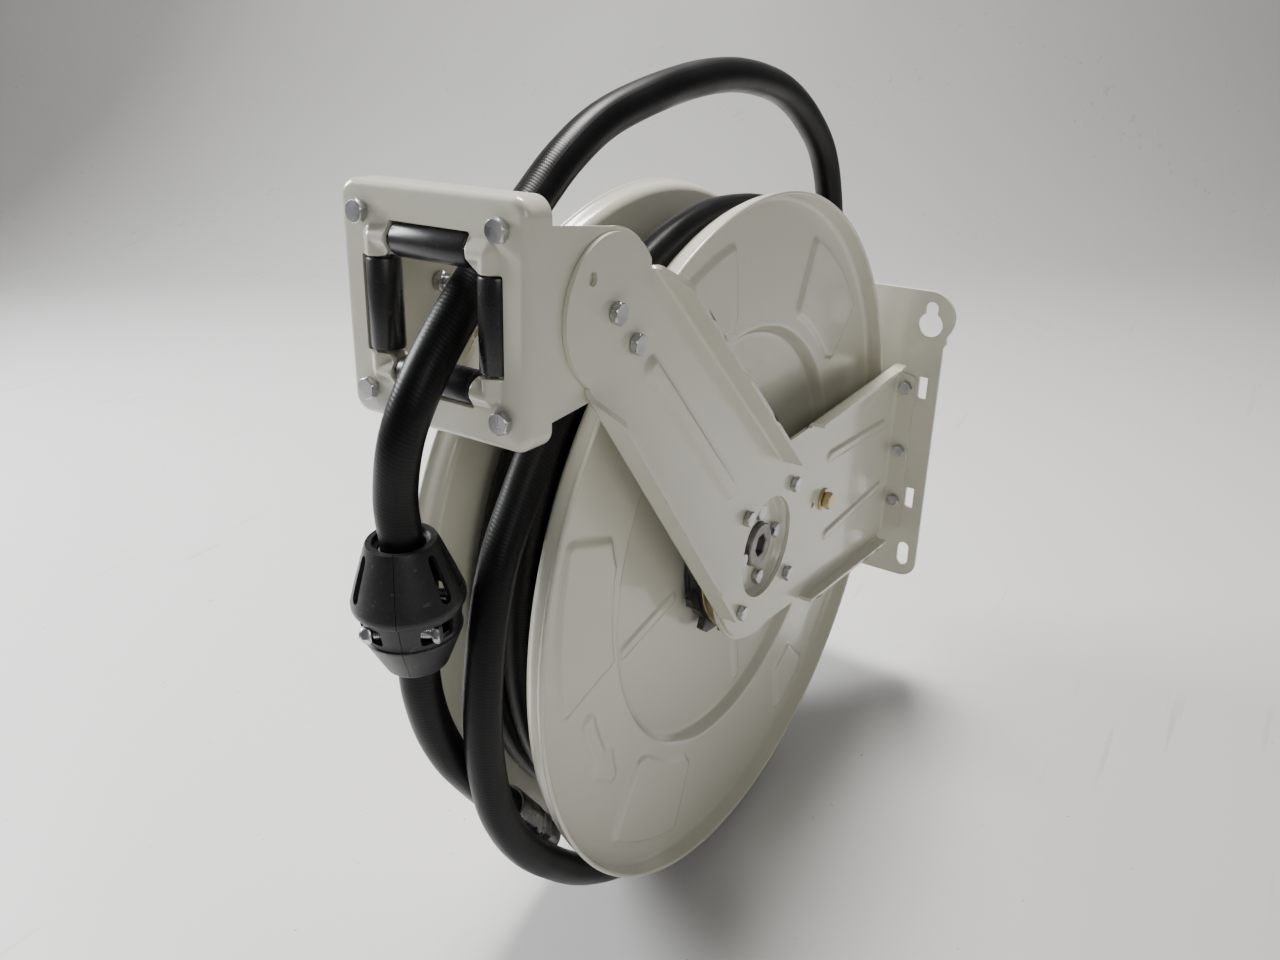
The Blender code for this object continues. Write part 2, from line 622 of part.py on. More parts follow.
def window_outline(margin=0.0):
    """Window of the guide: an opening with a slot for each roller."""
    level = ROLLER_LENGTH / 2 + ROLLER_SLOT_MARGIN + margin
    upright = ROLLER_ROW - ROLLER_RADIUS + margin
    top = ROLLER_ROW + ROLLER_RADIUS + margin
    side = ROLLER_COLUMN + ROLLER_RADIUS + margin
    quarter = [(side, upright), (level, upright), (level, top)]
    mirrored = [(-x, z) for x, z in reversed(quarter)]
    upper = quarter + mirrored
    return upper + [(x, -z) for x, z in reversed(upper)]


def second_ear_bolt():
    """Second ear bolt in the guide's own frame, (rearwards, up)."""
    away = -EAR_BOLT_PITCH
    step = Vector(arm_point(away, 0))
    turn = Matrix.Rotation(BOX_TILT, 4, "X") @ Vector((0, step.x, step.y))
    return turn.y, turn.z


def build_guide_box():
    """Pressed front box with its two ears, one sheet."""
    half, high = EAR_PLANE, BOX_HEIGHT / 2
    stop = EAR_END + 1 * MM
    front = -BOX_REACH
    back = front + BOX_DEPTH
    sheet = Sheet(BOX_SHEET)

    def ring(inset, y):
        points = rounded_box(half - inset, high - inset, BOX_CORNER - inset, stop)
        return [(x, y, z) for x, z in points]

    face = sheet.loop(ring(BOX_BEND, front))
    row = face
    for k in (1, 2):
        turn = pi / 2 * k / 2
        row = sheet.skirt(row, ring(BOX_BEND * (1 - sin(turn)), front + BOX_BEND * (1 - cos(turn))))
    row = sheet.skirt(row, ring(0, back))
    holes = [sheet.loop([(x, front, z) for x, z in window_outline()])]
    for sx in (-1, 1):
        for sz in (-1, 1):
            centre = (sx * BOX_BOLTS[0], sz * BOX_BOLTS[1])
            holes.append(sheet.loop([(x, front, z) for x, z in circle(centre, BOLT_HOLE, 8)]))
    sheet.fill([face] + holes)
    for side in (-1, 1):
        root = [v for v in row if abs(v.co.x - side * half) < 1e-6 and abs(abs(v.co.z) - stop) < 1e-6]
        root.sort(key=lambda v: v.co.z)
        end = circle((0, 0), EAR_END, 13, -pi / 2, pi)
        fresh = [sheet.bm.verts.new((side * half, y, z)) for y, z in end]
        outline = [root[0]] + fresh + [root[1]]
        for a, b in zip(outline, outline[1:]):
            sheet.bm.edges.new((a, b))
        bores = []
        for centre in ((0, 0), second_ear_bolt()):
            bores.append(sheet.loop([(side * half, y, z) for y, z in circle(centre, BOLT_HOLE, 8)]))
        sheet.fill([outline] + bores)
    sheet.finish("guide_box", "paint", guide_frame(), (0, -1, 0))


def build_roller_retainer():
    """Plate behind the roller pins that clamps them to the front box."""
    margin = BOX_SHEET + 5 * MM
    half_x, half_z = EAR_PLANE - margin, BOX_HEIGHT / 2 - margin
    outline = rounded_box(half_x, half_z, BOX_CORNER, half_z / 2)
    sheet = Sheet(RETAINER_SHEET)
    runs = [outline, window_outline(0.5 * MM)]
    for sx in (-1, 1):
        for sz in (-1, 1):
            runs.append(circle((sx * BOX_BOLTS[0], sz * BOX_BOLTS[1]), BOLT_HOLE, 8))
    sheet.fill([sheet.loop([(x, -RETAINER_FRONT, z) for x, z in run]) for run in runs])
    sheet.finish("roller_retainer", "paint", guide_frame(), (0, -1, 0))


def build_rollers():
    """Four rollers, each on its own pin between box and retainer."""
    frame = guide_frame()
    turn = frame.to_3x3()
    level_pin = ROLLER_COLUMN + PIN_RADIUS + 1 * MM
    upright_pin = ROLLER_ROW - PIN_RADIUS - 2 * FIT
    rows = {
        "top": ((0, ROLLER_ROW), (1, 0, 0), level_pin, ROLLER_LENGTH / 2),
        "bottom": ((0, -ROLLER_ROW), (1, 0, 0), level_pin, ROLLER_LENGTH / 2),
        "left": ((-ROLLER_COLUMN, 0), (0, 0, 1), upright_pin, ROLLER_ROW - ROLLER_RADIUS - 1 * MM),
        "right": ((ROLLER_COLUMN, 0), (0, 0, 1), upright_pin, ROLLER_ROW - ROLLER_RADIUS - 1 * MM),
    }
    for side, ((x, z), axis, pin, half) in rows.items():
        centre = frame @ Vector((x, -PIN_PLANE, z))
        place = along(centre, turn @ Vector(axis))
        bore, rim, ease = PIN_RADIUS + RUN, ROLLER_RADIUS, 1 * MM
        profile = [(bore, -half), (rim - ease, -half), (rim, -half + ease)]
        profile += [(rim, half - ease), (rim - ease, half), (bore, half)]
        lathe("roller_" + side, profile, "nylon", place, steps=20)
        ends = [(0, -pin), (PIN_RADIUS, -pin), (PIN_RADIUS, pin), (0, pin)]
        lathe("roller_pin_" + side, ends, "zinc", place, steps=14)


# ================================================================ drum
def build_disc(name, side):
    """Side disc: dished middle, flat panel and a lip turned outwards."""
    lip = DISC_PLANE + LIP_REACH
    edge = DISC_RADIUS - LIP_FLARE
    profile = [
        (HUB_HOLE, DISH_PLANE),
        (DISH_RADIUS - DISH_SLOPE - 1 * MM, DISH_PLANE),
        (DISH_RADIUS + 1 * MM, DISC_PLANE),
        (edge - 3 * MM, DISC_PLANE),
        (edge, DISC_PLANE + 3 * MM),
        (DISC_RADIUS, lip),
    ]
    mesh = bpy.data.meshes.new(name)
    bm = bmesh.new()
    verts = [bm.verts.new((radius, 0, height)) for radius, height in profile]
    for a, b in zip(verts, verts[1:]):
        bm.edges.new((a, b))
    bm.to_mesh(mesh)
    bm.free()
    obj = make_object(name, mesh, "paint", hub_axis(side))
    add_screw(obj, DISC_STEPS)
    solidify = obj.modifiers.new("sheet", "SOLIDIFY")
    solidify.thickness = DISC_SHEET
    solidify.offset = -1
    solidify.use_even_offset = True


def build_drum():
    """Barrel, wound hose, spring case, ratchet, shaft and outlet pipe."""
    build_disc("disc_right", 1)
    build_disc("disc_left", -1)
    reach = DISH_PLANE - DISC_SHEET - FIT
    inner = BARREL_RADIUS - BARREL_WALL
    profile = [(inner, -reach), (BARREL_RADIUS, -reach), (BARREL_RADIUS, reach), (inner, reach)]
    lathe("drum_barrel", profile, "paint", hub_axis(), steps=DISC_STEPS)
    wide = DISC_PLANE - DISC_SHEET - 2 * FIT
    waist = DISH_RADIUS - DISH_SLOPE + 2 * MM
    shoulder = DISH_RADIUS + 6 * MM
    half = [(BARREL_RADIUS + FIT, reach), (waist, reach), (shoulder, wide)]
    half += [(WOUND_RADIUS - 6 * MM, wide), (WOUND_RADIUS, wide - 6 * MM)]
    profile = half + [(radius, -height) for radius, height in reversed(half)]
    lathe("wound_hose", profile, "rubber", hub_axis(), steps=DISC_STEPS)

    floor = CASE_START + CASE_WALL
    profile = [(HUB_HOLE, CASE_START), (CASE_RADIUS, CASE_START), (CASE_RADIUS, CASE_END)]
    profile += [(CASE_RADIUS - CASE_WALL, CASE_END), (CASE_RADIUS - CASE_WALL, floor), (HUB_HOLE, floor)]
    lathe("spring_case", profile, "black_steel", hub_axis(), steps=32)
    bore = ARBOR_RADIUS + 2 * MM
    profile = [(bore, COVER_END - COVER_THICK), (CASE_RADIUS, COVER_END - COVER_THICK)]
    profile += [(CASE_RADIUS, COVER_END), (bore, COVER_END)]
    lathe("spring_case_cover", profile, "black_steel", hub_axis(), steps=32)
    back = DISH_PLANE - DISC_SHEET - 5 * MM
    profile = [(ARBOR_RADIUS + RUN, back), (BUSH_OUTER, back)]
    profile += [(BUSH_OUTER, back + BUSH_LENGTH), (ARBOR_RADIUS + RUN, back + BUSH_LENGTH)]
    lathe("arbor_bush", profile, "bronze", hub_axis(), steps=20)
    build_ratchet()
    build_mainspring(floor)
    build_shaft()


def ratchet_plane():
    """Outer face of the ratchet wheel, level with the pawl."""
    return CASE_END - 3 * MM


def build_ratchet():
    """Ratchet ring on the spring case, with saw teeth round its rim."""
    outline = []
    root = RATCHET_ROOT
    for k in range(RATCHET_TEETH):
        start = tau * (k + 0.28) / RATCHET_TEETH
        pitch = tau / RATCHET_TEETH
        outline.append((root * cos(start), root * sin(start)))
        outline.append((RATCHET_TIP * cos(start + 0.1 * pitch), RATCHET_TIP * sin(start + 0.1 * pitch)))
        outline.append((RATCHET_TIP * cos(start + 0.3 * pitch), RATCHET_TIP * sin(start + 0.3 * pitch)))
        outline.append((root * cos(start + 0.75 * pitch), root * sin(start + 0.75 * pitch)))
    bore = circle((0, 0), CASE_RADIUS + 2 * FIT, 32)
    plate("ratchet_wheel", outline, [bore], ratchet_plane(), RATCHET_THICK, "black_steel",
          Matrix.Translation(HUB))


def build_mainspring(floor):
    """Flat spiral spring lying free inside its case."""
    inner = BUSH_OUTER + 3 * MM
    outer = CASE_RADIUS - CASE_WALL - SPRING_STRIP - 1 * MM
    low, high = floor + 2 * FIT, CASE_END - FIT
    steps = 16 * SPRING_TURNS
    mesh = bpy.data.meshes.new("mainspring")
    bm = bmesh.new()
    rows = []
    for k in range(steps + 1):
        turn = tau * SPRING_TURNS * k / steps
        r = inner + (outer - inner) * k / steps
        rows.append([bm.verts.new((r * cos(turn), r * sin(turn), h)) for h in (low, high)])
    for a, b in zip(rows, rows[1:]):
        bm.faces.new((a[0], b[0], b[1], a[1]))
    bm.to_mesh(mesh)
    bm.free()
    obj = make_object("mainspring", mesh, "spring_steel", hub_axis())
    solidify = obj.modifiers.new("strip", "SOLIDIFY")
    solidify.thickness = SPRING_STRIP
    solidify.offset = 1


def swivel_end():
    """Where the shaft's nose ends inside the swivel, from the middle."""
    return ARM_PLANE + SWIVEL_LENGTH - 4 * MM


def build_shaft():
    """Hollow shaft on the inlet side and the pipe to the hose's inner end."""
    flange = DISH_PLANE + FIT
    inner = DISH_PLANE - DISC_SHEET - 16 * MM
    shoulder = ARM_PLANE + 1 * MM
    nose = swivel_end() - FIT
    profile = [
        (SHAFT_BORE, inner), (SHAFT_RADIUS, inner), (SHAFT_RADIUS, flange), (SHAFT_FLANGE, flange),
        (SHAFT_FLANGE, flange + SHAFT_FLANGE_THICK), (SHAFT_RADIUS, flange + SHAFT_FLANGE_THICK),
        (SHAFT_RADIUS, shoulder), (SHAFT_NOSE, shoulder), (SHAFT_NOSE, nose), (SHAFT_BORE, nose),
    ]
    lathe("hollow_shaft", profile, "steel", hub_axis(-1), steps=20)
    start = HUB + Vector((-inner + FIT, 0, 0))
    end_radius = BARREL_RADIUS - BARREL_WALL - 2 * MM
    bend = 8 * MM
    turns = [k * pi / 8 for k in range(5)]
    stub = start + Vector((2 * MM, 0, 0))
    route = [start] + [stub + Vector((bend * sin(t), 0, bend * (1 - cos(t)))) for t in turns]
    route.append(Vector((route[-1].x, HUB.y, HUB.z + end_radius)))
    tube("outlet_pipe", route, OUTLET_RADIUS, "zinc", HUB)


# ================================================================ spring side
def build_spring_side():
    """Arbor bolted in the right cup, and the pawl that holds the drum."""
    start = DISH_PLANE - DISC_SHEET - 6 * MM
    face = CUP_FLOOR + 4 * MM
    seat = FLANGE_OUTER + FIT
    profile = [
        (0, start), (ARBOR_RADIUS, start), (ARBOR_RADIUS, seat), (ARBOR_NOSE, seat), (ARBOR_NOSE, face),
        (ARBOR_KEY, face), (ARBOR_KEY, face - 6 * MM), (0, face - 6 * MM),
    ]
    lathe("spring_arbor", profile, "steel", hub_axis(), steps=32)
    holes = [circle((0, 0), ARBOR_RADIUS + 2 * FIT, 16)]
    for angle in HUB_INNER_ANGLES:
        centre = (HUB_INNER_CIRCLE * cos(angle), HUB_INNER_CIRCLE * sin(angle))
        holes.append(circle(centre, BOLT_HOLE, 8))
    plate("arbor_flange", circle((0, 0), ARBOR_FLANGE, 24), holes, FLANGE_OUTER,
          ARBOR_FLANGE_THICK, "steel", Matrix.Translation(HUB))
    build_pawl(ratchet_plane())


def build_pawl(plane):
    """Pawl, its shoulder bolt, clip and return spring."""
    pivot = HUB + Vector((0, *PAWL_PIVOT))
    back = plane - RATCHET_THICK
    tip = 2.5 * MM
    along_pawl = Vector((cos(PAWL_ANGLE), sin(PAWL_ANGLE)))
    across = Vector((-along_pawl.y, along_pawl.x))
    outline = circle((0, 0), PAWL_BOSS, 11, PAWL_ANGLE + pi / 2, pi)
    outline += [tuple(along_pawl * (PAWL_LENGTH - 3 * MM) - across * tip * 1.4)]
    outline += [tuple(along_pawl * PAWL_LENGTH - across * tip * 0.4)]
    outline += [tuple(along_pawl * PAWL_LENGTH + across * tip)]
    bore = circle((0, 0), PAWL_BOLT_RADIUS + RUN, 14)
    plate("pawl", outline, [bore], plane, RATCHET_THICK, "zinc", Matrix.Translation(pivot))
    seat = ARM_PLANE + FIT
    collar_top = ARM_PLANE - ARM_SHEET - FIT
    collar_end = plane + FIT
    tail = back - 3 * MM
    shank = circle((0, 0), PAWL_BOLT_RADIUS, 12)
    wide = circle((0, 0), PAWL_COLLAR, 12)
    brim = circle((0, 0), 8 * MM, 12)
    head = hexagon_ring(13 * MM)
    rings = [(head, seat + 7 * MM), (head, seat + 1.6 * MM), (brim, seat + 1.4 * MM), (brim, seat)]
    rings += [(shank, seat), (shank, collar_top), (wide, collar_top), (wide, collar_end)]
    rings += [(shank, collar_end), (shank, tail)]
    loft("pawl_bolt", rings, "yellow_zinc", along(pivot, (1, 0, 0)))
    clip = [(PAWL_BOLT_RADIUS + FIT, tail + FIT), (7 * MM, tail + FIT)]
    clip += [(7 * MM, back - FIT), (PAWL_BOLT_RADIUS + FIT, back - FIT)]
    lathe("pawl_clip", clip, "spring_steel", along(pivot, (1, 0, 0)), steps=16)
    radius = (PAWL_COLLAR + FIT + PAWL_SPRING_WIRE) / cos(pi / 8)
    low, high = collar_end + 1.2 * MM, collar_top - 1.2 * MM
    count = 8 * PAWL_SPRING_TURNS
    route = []
    for k in range(count + 1):
        turn = tau * k / 8
        route.append(pivot + Vector((low + (high - low) * k / count, radius * cos(turn), radius * sin(turn))))
    tube("pawl_spring", route, PAWL_SPRING_WIRE, "spring_steel", pivot, resolution=1)


# ================================================================ inlet side
def build_inlet_side():
    """Bearing housing in the left cup and the swivel inlet outside it."""
    inner = DISH_PLANE + FIT + SHAFT_FLANGE_THICK + 2 * MM
    bore = SHAFT_RADIUS + RUN + BEARING_WALL + FIT
    profile = [(bore, inner), (bore + 4 * MM, inner), (bore + 4 * MM, FLANGE_OUTER - 3.3 * MM)]
    profile += [(ARBOR_FLANGE, FLANGE_OUTER - 3.3 * MM), (ARBOR_FLANGE, FLANGE_OUTER), (bore, FLANGE_OUTER)]
    lathe("bearing_housing", profile, "steel", hub_axis(-1), steps=32)
    drop = FLANGE_OUTER - FIT
    profile = [(SHAFT_RADIUS + RUN, inner), (bore - FIT, inner)]
    profile += [(bore - FIT, drop), (SHAFT_RADIUS + RUN, drop)]
    lathe("shaft_bearing", profile, "bronze", hub_axis(-1), steps=20)

    start = ARM_PLANE + 2 * MM
    end = ARM_PLANE + SWIVEL_LENGTH
    bore = SHAFT_NOSE + RUN
    groove = start + 10 * MM
    deep = bore + SEAL_SECTION
    profile = [
        (0, end), (0, swivel_end()), (bore, swivel_end()), (bore, groove + SEAL_SECTION + FIT),
        (deep + FIT, groove + SEAL_SECTION + FIT), (deep + FIT, groove - FIT), (bore, groove - FIT),
        (bore, start), (SWIVEL_RADIUS, start), (SWIVEL_RADIUS, end - 1 * MM), (SWIVEL_RADIUS - 1 * MM, end),
    ]
    lathe("swivel_body", profile, "brass", hub_axis(-1), steps=20)
    profile = [(bore, groove), (deep, groove), (deep, groove + SEAL_SECTION), (bore, groove + SEAL_SECTION)]
    lathe("swivel_seal", profile, "rubber", hub_axis(-1), steps=24)
    centre = HUB + Vector((-(start + end) / 2, 0, 0))
    hexagon = hexagon_ring(FITTING_FLATS)
    neck = circle((0, 0), NIPPLE_RADIUS, 12)
    root = SWIVEL_RADIUS + FIT
    rings = [(hexagon, root), (hexagon, root + 9 * MM), (neck, root + 9 * MM), (neck, root + NIPPLE_LENGTH)]
    loft("inlet_nipple", rings, "brass", along(centre, (0, 0, -1)))


# ================================================================ loose hose
def hub_points(points):
    """Hand-set points, millimetres from the hub, in world metres."""
    return [HUB + Vector(p) * MM for p in points]


def build_hose():
    """Loose turn and hanging end as one hose, with the ball and fitting."""
    loose = hub_points(LOOSE_TURN)
    hanging = hub_points(HANGING_END)
    above = smooth_route(loose + hanging[:2], HOSE_POINT_SPACING)
    below = smooth_route(hanging[2:], HOSE_POINT_SPACING * 0.7)
    tube("hose_run", above + below, HOSE_RADIUS, "rubber", hanging[0])

    centre = HUB + Vector(BALL_CENTRE) * MM
    bore = HOSE_RADIUS + FIT
    profile = [
        (bore, -BALL_BOTTOM_HEIGHT), (BALL_BOTTOM_RADIUS, -BALL_BOTTOM_HEIGHT),
        (BALL_RADIUS * 0.88, -BALL_BOTTOM_HEIGHT * 0.48), (BALL_RADIUS, -4 * MM), (BALL_RADIUS, 4 * MM),
        (BALL_RADIUS * 0.86, BALL_TOP_HEIGHT * 0.45), (BALL_TOP_RADIUS, BALL_TOP_HEIGHT),
        (bore, BALL_TOP_HEIGHT),
    ]
    place = Matrix.Translation(centre) @ Matrix.Rotation(BALL_TURN, 4, "Z")
    for name, side in (("stop_ball_left", -1), ("stop_ball_right", 1)):
        half = lathe(name, profile, "moulding", place, steps=20)
        cut_half(half, side)

    start, end = hanging[-2], hanging[-1]
    axis = (end - start).normalized()
    place = along(end + axis * FIT, axis)
    inner = HOSE_RADIUS + 0.6 * MM
    outer = inner + FERRULE_WALL
    profile = [(inner, -FERRULE_LENGTH), (outer, -FERRULE_LENGTH), (outer, 2 * MM), (inner, 2 * MM)]
    lathe("hose_ferrule", profile, "zinc", place, steps=20)
    hexagon = hexagon_ring(FITTING_FLATS)
    tail = circle((0, 0), HOSE_RADIUS, 12)
    neck = circle((0, 0), FITTING_THREAD - 1.2 * MM, 12)
    thread = circle((0, 0), FITTING_THREAD, 12)
    bore_ring = circle((0, 0), FITTING_BORE, 12)
    hex_start = 2 * MM + FIT
    hex_end = hex_start + FITTING_HEX
    tip = hex_end + 2 * MM + FITTING_THREAD_LENGTH
    rings = [(tail, 0), (tail, hex_start), (hexagon, hex_start), (hexagon, hex_end), (neck, hex_end)]
    rings += [(neck, hex_end + 2 * MM), (thread, hex_end + 2 * MM), (thread, tip)]
    rings += [(bore_ring, tip), (bore_ring, tip - 8 * MM)]
    loft("end_fitting", rings, "zinc", place)


def cut_half(target, side):
    """Keep the half of a turned piece on one side of its local x = 0."""
    size = 4 * BALL_RADIUS
    bpy.ops.mesh.primitive_cube_add(size=size)
    cutter = bpy.context.object
    cutter.name = target.name + "_cutter"
    cutter.matrix_world = target.matrix_world @ Matrix.Translation((side * (FIT - size) / 2, 0, 0))
    for owner in list(cutter.users_collection):
        owner.objects.unlink(cutter)
    bpy.data.collections["cutters"].objects.link(cutter)
    cutter.hide_render = True
    cutter.display_type = "WIRE"
    cut = target.modifiers.new("half", "BOOLEAN")
    cut.operation = "DIFFERENCE"
    cut.solver = "EXACT"
    cut.object = cutter


# ================================================================ fasteners
def build_fasteners():
    """Bolts seen on the guide, the ears and the right side of the hub."""
    frame = guide_frame()
    turn = frame.to_3x3()
    grip = BOX_REACH - RETAINER_BACK
    names = {(-1, 1): "top_left", (1, 1): "top_right", (-1, -1): "bottom_left", (1, -1): "bottom_right"}
    for (sx, sz), name in names.items():
        seat = frame @ Vector((sx * BOX_BOLTS[0], -BOX_REACH, sz * BOX_BOLTS[1]))
        bolt("guide_bolt_" + name, seat, turn @ Vector((0, -1, 0)), grip)
    ear_grip = GUIDE_ARM_PLANE - EAR_PLANE + BOX_SHEET
    for side, word in ((1, "right"), (-1, "left")):
        for step, label in ((0, "upper"), (-1, "lower")):
            y, z = arm_point(GUIDE_ARM_LENGTH + step * EAR_BOLT_PITCH, 0)
            seat = HUB + Vector((side * GUIDE_ARM_PLANE, y, z))
            bolt("ear_bolt_%s_%s" % (word, label), seat, (side, 0, 0), ear_grip)
    hub_grip = GUIDE_ARM_PLANE - ARM_PLANE + ARM_SHEET
    for k, angle in enumerate(HUB_OUTER_ANGLES):
        point = Vector((GUIDE_ARM_PLANE, HUB_OUTER_CIRCLE * cos(angle), HUB_OUTER_CIRCLE * sin(angle)))
        bolt("hub_bolt_outer_%d" % (k + 1), HUB + point, (1, 0, 0), hub_grip)
    floor_grip = CUP_FLOOR - FLANGE_OUTER + 3 * MM
    for k, angle in enumerate(HUB_INNER_ANGLES):
        point = Vector((CUP_FLOOR, HUB_INNER_CIRCLE * cos(angle), HUB_INNER_CIRCLE * sin(angle)))
        bolt("hub_bolt_inner_%d" % (k + 1), HUB + point, (1, 0, 0), floor_grip, nut=False)


def build():
    """Clear the scene and build the whole reel."""
    for obj in list(bpy.data.objects):
        bpy.data.objects.remove(obj)
    for name in ("hose_reel", "cutters"):
        collection = bpy.data.collections.new(name)
        bpy.context.scene.collection.children.link(collection)
    build_wall_plate()
    build_support_arm("support_arm_right", mirror=False)
    build_support_arm("support_arm_left", mirror=True)
    build_guide_arm("guide_arm_right", mirror=False)
    build_guide_arm("guide_arm_left", mirror=True)
    build_guide_box()
    build_roller_retainer()
    build_rollers()
    build_drum()
    build_spring_side()
    build_inlet_side()
    build_hose()
    build_fasteners()


build()
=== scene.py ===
"""Spring hose reel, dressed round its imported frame.

Every sub-assembly is a class that holds its sizes and builds its own meshes.
Lengths are metres in the frame's own axes: +Z up the wall, +Y into the wall,
+X along the drum's axis towards the spring side.  "Hub" is the drum's axis in
the middle of the reel, and angles about it run from +Y towards +Z.
"""
import logging
from dataclasses import dataclass
from enum import Enum
from typing import Callable

import bmesh
import bpy
import numpy as np
from mathutils import Matrix, Vector
from mathutils.geometry import delaunay_2d_cdt


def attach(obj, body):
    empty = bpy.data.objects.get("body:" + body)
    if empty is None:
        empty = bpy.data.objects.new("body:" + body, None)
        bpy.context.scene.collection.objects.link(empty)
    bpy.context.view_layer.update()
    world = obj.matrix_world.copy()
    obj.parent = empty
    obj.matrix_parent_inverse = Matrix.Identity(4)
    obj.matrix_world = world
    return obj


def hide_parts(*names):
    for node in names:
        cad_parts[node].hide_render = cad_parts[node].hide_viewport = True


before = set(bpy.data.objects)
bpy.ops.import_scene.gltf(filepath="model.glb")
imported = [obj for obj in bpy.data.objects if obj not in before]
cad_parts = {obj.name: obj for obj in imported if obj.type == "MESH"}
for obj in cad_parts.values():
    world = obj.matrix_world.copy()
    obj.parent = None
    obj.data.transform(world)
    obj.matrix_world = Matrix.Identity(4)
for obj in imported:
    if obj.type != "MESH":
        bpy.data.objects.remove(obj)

log = logging.getLogger("hose_reel")

Array = np.ndarray
Object = bpy.types.Object
Material = bpy.types.Material
Surface = Callable[[Array], Array]
Node = bpy.types.Node
Socket = bpy.types.NodeSocket

MM = 0.001
TURN = 2 * np.pi
BOLT_HOLE = 3.3 * MM
HUB = np.array((0.0, -0.249, 0.0125))


class Side(Enum):
    """Which side of the reel a piece belongs to, as the sign of its x."""

    RIGHT = 1
    LEFT = -1

    @property
    def word(self) -> str:
        """The side's name in lower case."""
        return self.name.lower()


# ================================================================ plane shapes
def ramp(x: Array, low: float, high: float) -> Array:
    """Smooth step: 0 below low, 1 above high, 3t^2 - 2t^3 in between."""
    t = np.clip((x - low) / (high - low), 0, 1)
    return t * t * (3 - 2 * t)


def arc(centre: tuple, radius: float, start: float, sweep: float, count: int) -> Array:
    """Points of an arc.

    Args:
        centre: middle of the circle.
        radius: its radius.
        start: first angle, radians.
        sweep: angle covered; a full turn leaves out the closing point.
        count: number of points.

    Returns:
        An array of count points in the plane.
    """
    full = abs(abs(sweep) - TURN) < 1e-9
    turns = start + sweep * np.linspace(0, 1, count, endpoint=not full)
    return np.column_stack((centre[0] + radius * np.cos(turns), centre[1] + radius * np.sin(turns)))


def ring(centre: tuple, radius: float, count: int = 32) -> Array:
    """Closed circle of count points."""
    return arc(centre, radius, 0.0, TURN, count)


def capsule(a: tuple, b: tuple, radius: float, count: int = 9) -> Array:
    """Closed outline at one distance round the line from a to b."""
    heading = np.arctan2(b[1] - a[1], b[0] - a[0])
    first = arc(b, radius, heading - np.pi / 2, np.pi, count)
    second = arc(a, radius, heading + np.pi / 2, np.pi, count)
    return np.vstack((first, second))


def filleted(points: list, radii: list, steps: int = 5, closed: bool = True) -> Array:
    """Polygon or polyline with its corners rounded.

    Each corner is replaced by the arc that touches both of its sides at the
    distance radius / tan(half the corner's angle).

    Args:
        points: the corners in order.
        radii: one radius per corner; 0 keeps the corner.
        steps: segments in each arc.
        closed: whether the last corner joins the first.

    Returns:
        The rounded outline.
    """
    corners = np.asarray(points, float)
    count = len(corners)
    out = []
    for k in range(count):
        here = corners[k]
        ends = not closed and k in (0, count - 1)
        if ends or radii[k] <= 0:
            out.append(here[None])
            continue
        back = corners[k - 1] - here
        on = corners[(k + 1) % count] - here
        back, on = back / np.linalg.norm(back), on / np.linalg.norm(on)
        half = np.arccos(np.clip(back @ on, -1, 1)) / 2
        middle = back + on
        centre = here + middle / np.linalg.norm(middle) * radii[k] / np.sin(half)
        reach = radii[k] / np.tan(half)
        first, last = here + back * reach - centre, here + on * reach - centre
        start = np.arctan2(first[1], first[0])
        sweep = (np.arctan2(last[1], last[0]) - start + np.pi) % TURN - np.pi
        out.append(arc(tuple(centre), radii[k], start, sweep, steps + 1))
    return np.vstack(out)


def resampled(loop: Array, spacing: float, closed: bool = True) -> Array:
    """The same line with points added, so that no edge is longer than spacing."""
    ends = np.roll(loop, -1, axis=0) if closed else loop[1:]
    starts = loop if closed else loop[:-1]
    runs = []
    for a, b in zip(starts, ends):
        parts = max(1, int(np.ceil(np.linalg.norm(b - a) / spacing)))
        runs.append(a + (b - a) * np.arange(parts)[:, None] / parts)
    if not closed:
        runs.append(loop[-1:])
    return np.vstack(runs)


def inside(points: Array, loop: Array) -> Array:
    """Even-odd test: True where a ray to the right crosses the loop an odd number of times."""
    x, y = points[:, 0, None], points[:, 1, None]
    a, b = loop, np.roll(loop, -1, axis=0)
    spans = (a[:, 1] > y) != (b[:, 1] > y)
    rise = np.where(a[:, 1] == b[:, 1], 1e-12, b[:, 1] - a[:, 1])
    cross = a[:, 0] + (y - a[:, 1]) * (b[:, 0] - a[:, 0]) / rise
    return (np.sum(spans & (x < cross), axis=1) % 2).astype(bool)


def distance_to(points: Array, line: Array, closed: bool = False) -> Array:
    """Least distance from each point to a line's segments."""
    a = line if closed else line[:-1]
    b = np.roll(line, -1, axis=0) if closed else line[1:]
    best = np.full(len(points), np.inf)
    for p, q in zip(a, b):
        run = q - p
        share = np.clip(((points - p) @ run) / max(run @ run, 1e-18), 0, 1)
        best = np.minimum(best, np.linalg.norm(points - p - share[:, None] * run, axis=1))
    return best


def depth_in(points: Array, loop: Array) -> Array:
    """Signed distance to an outline: positive inside it, negative outside."""
    return np.where(inside(points, loop), 1, -1) * distance_to(points, loop, closed=True)


def even_grid(low: Array, high: Array, spacing: float) -> Array:
    """Points at one spacing over a rectangle, alternate rows shifted by half."""
    columns, rows = (np.arange(low[k] + spacing / 2, high[k], spacing) for k in (0, 1))
    across, up = np.meshgrid(columns, rows)
    across[1::2] += spacing / 2
    return np.column_stack((across.ravel(), up.ravel()))


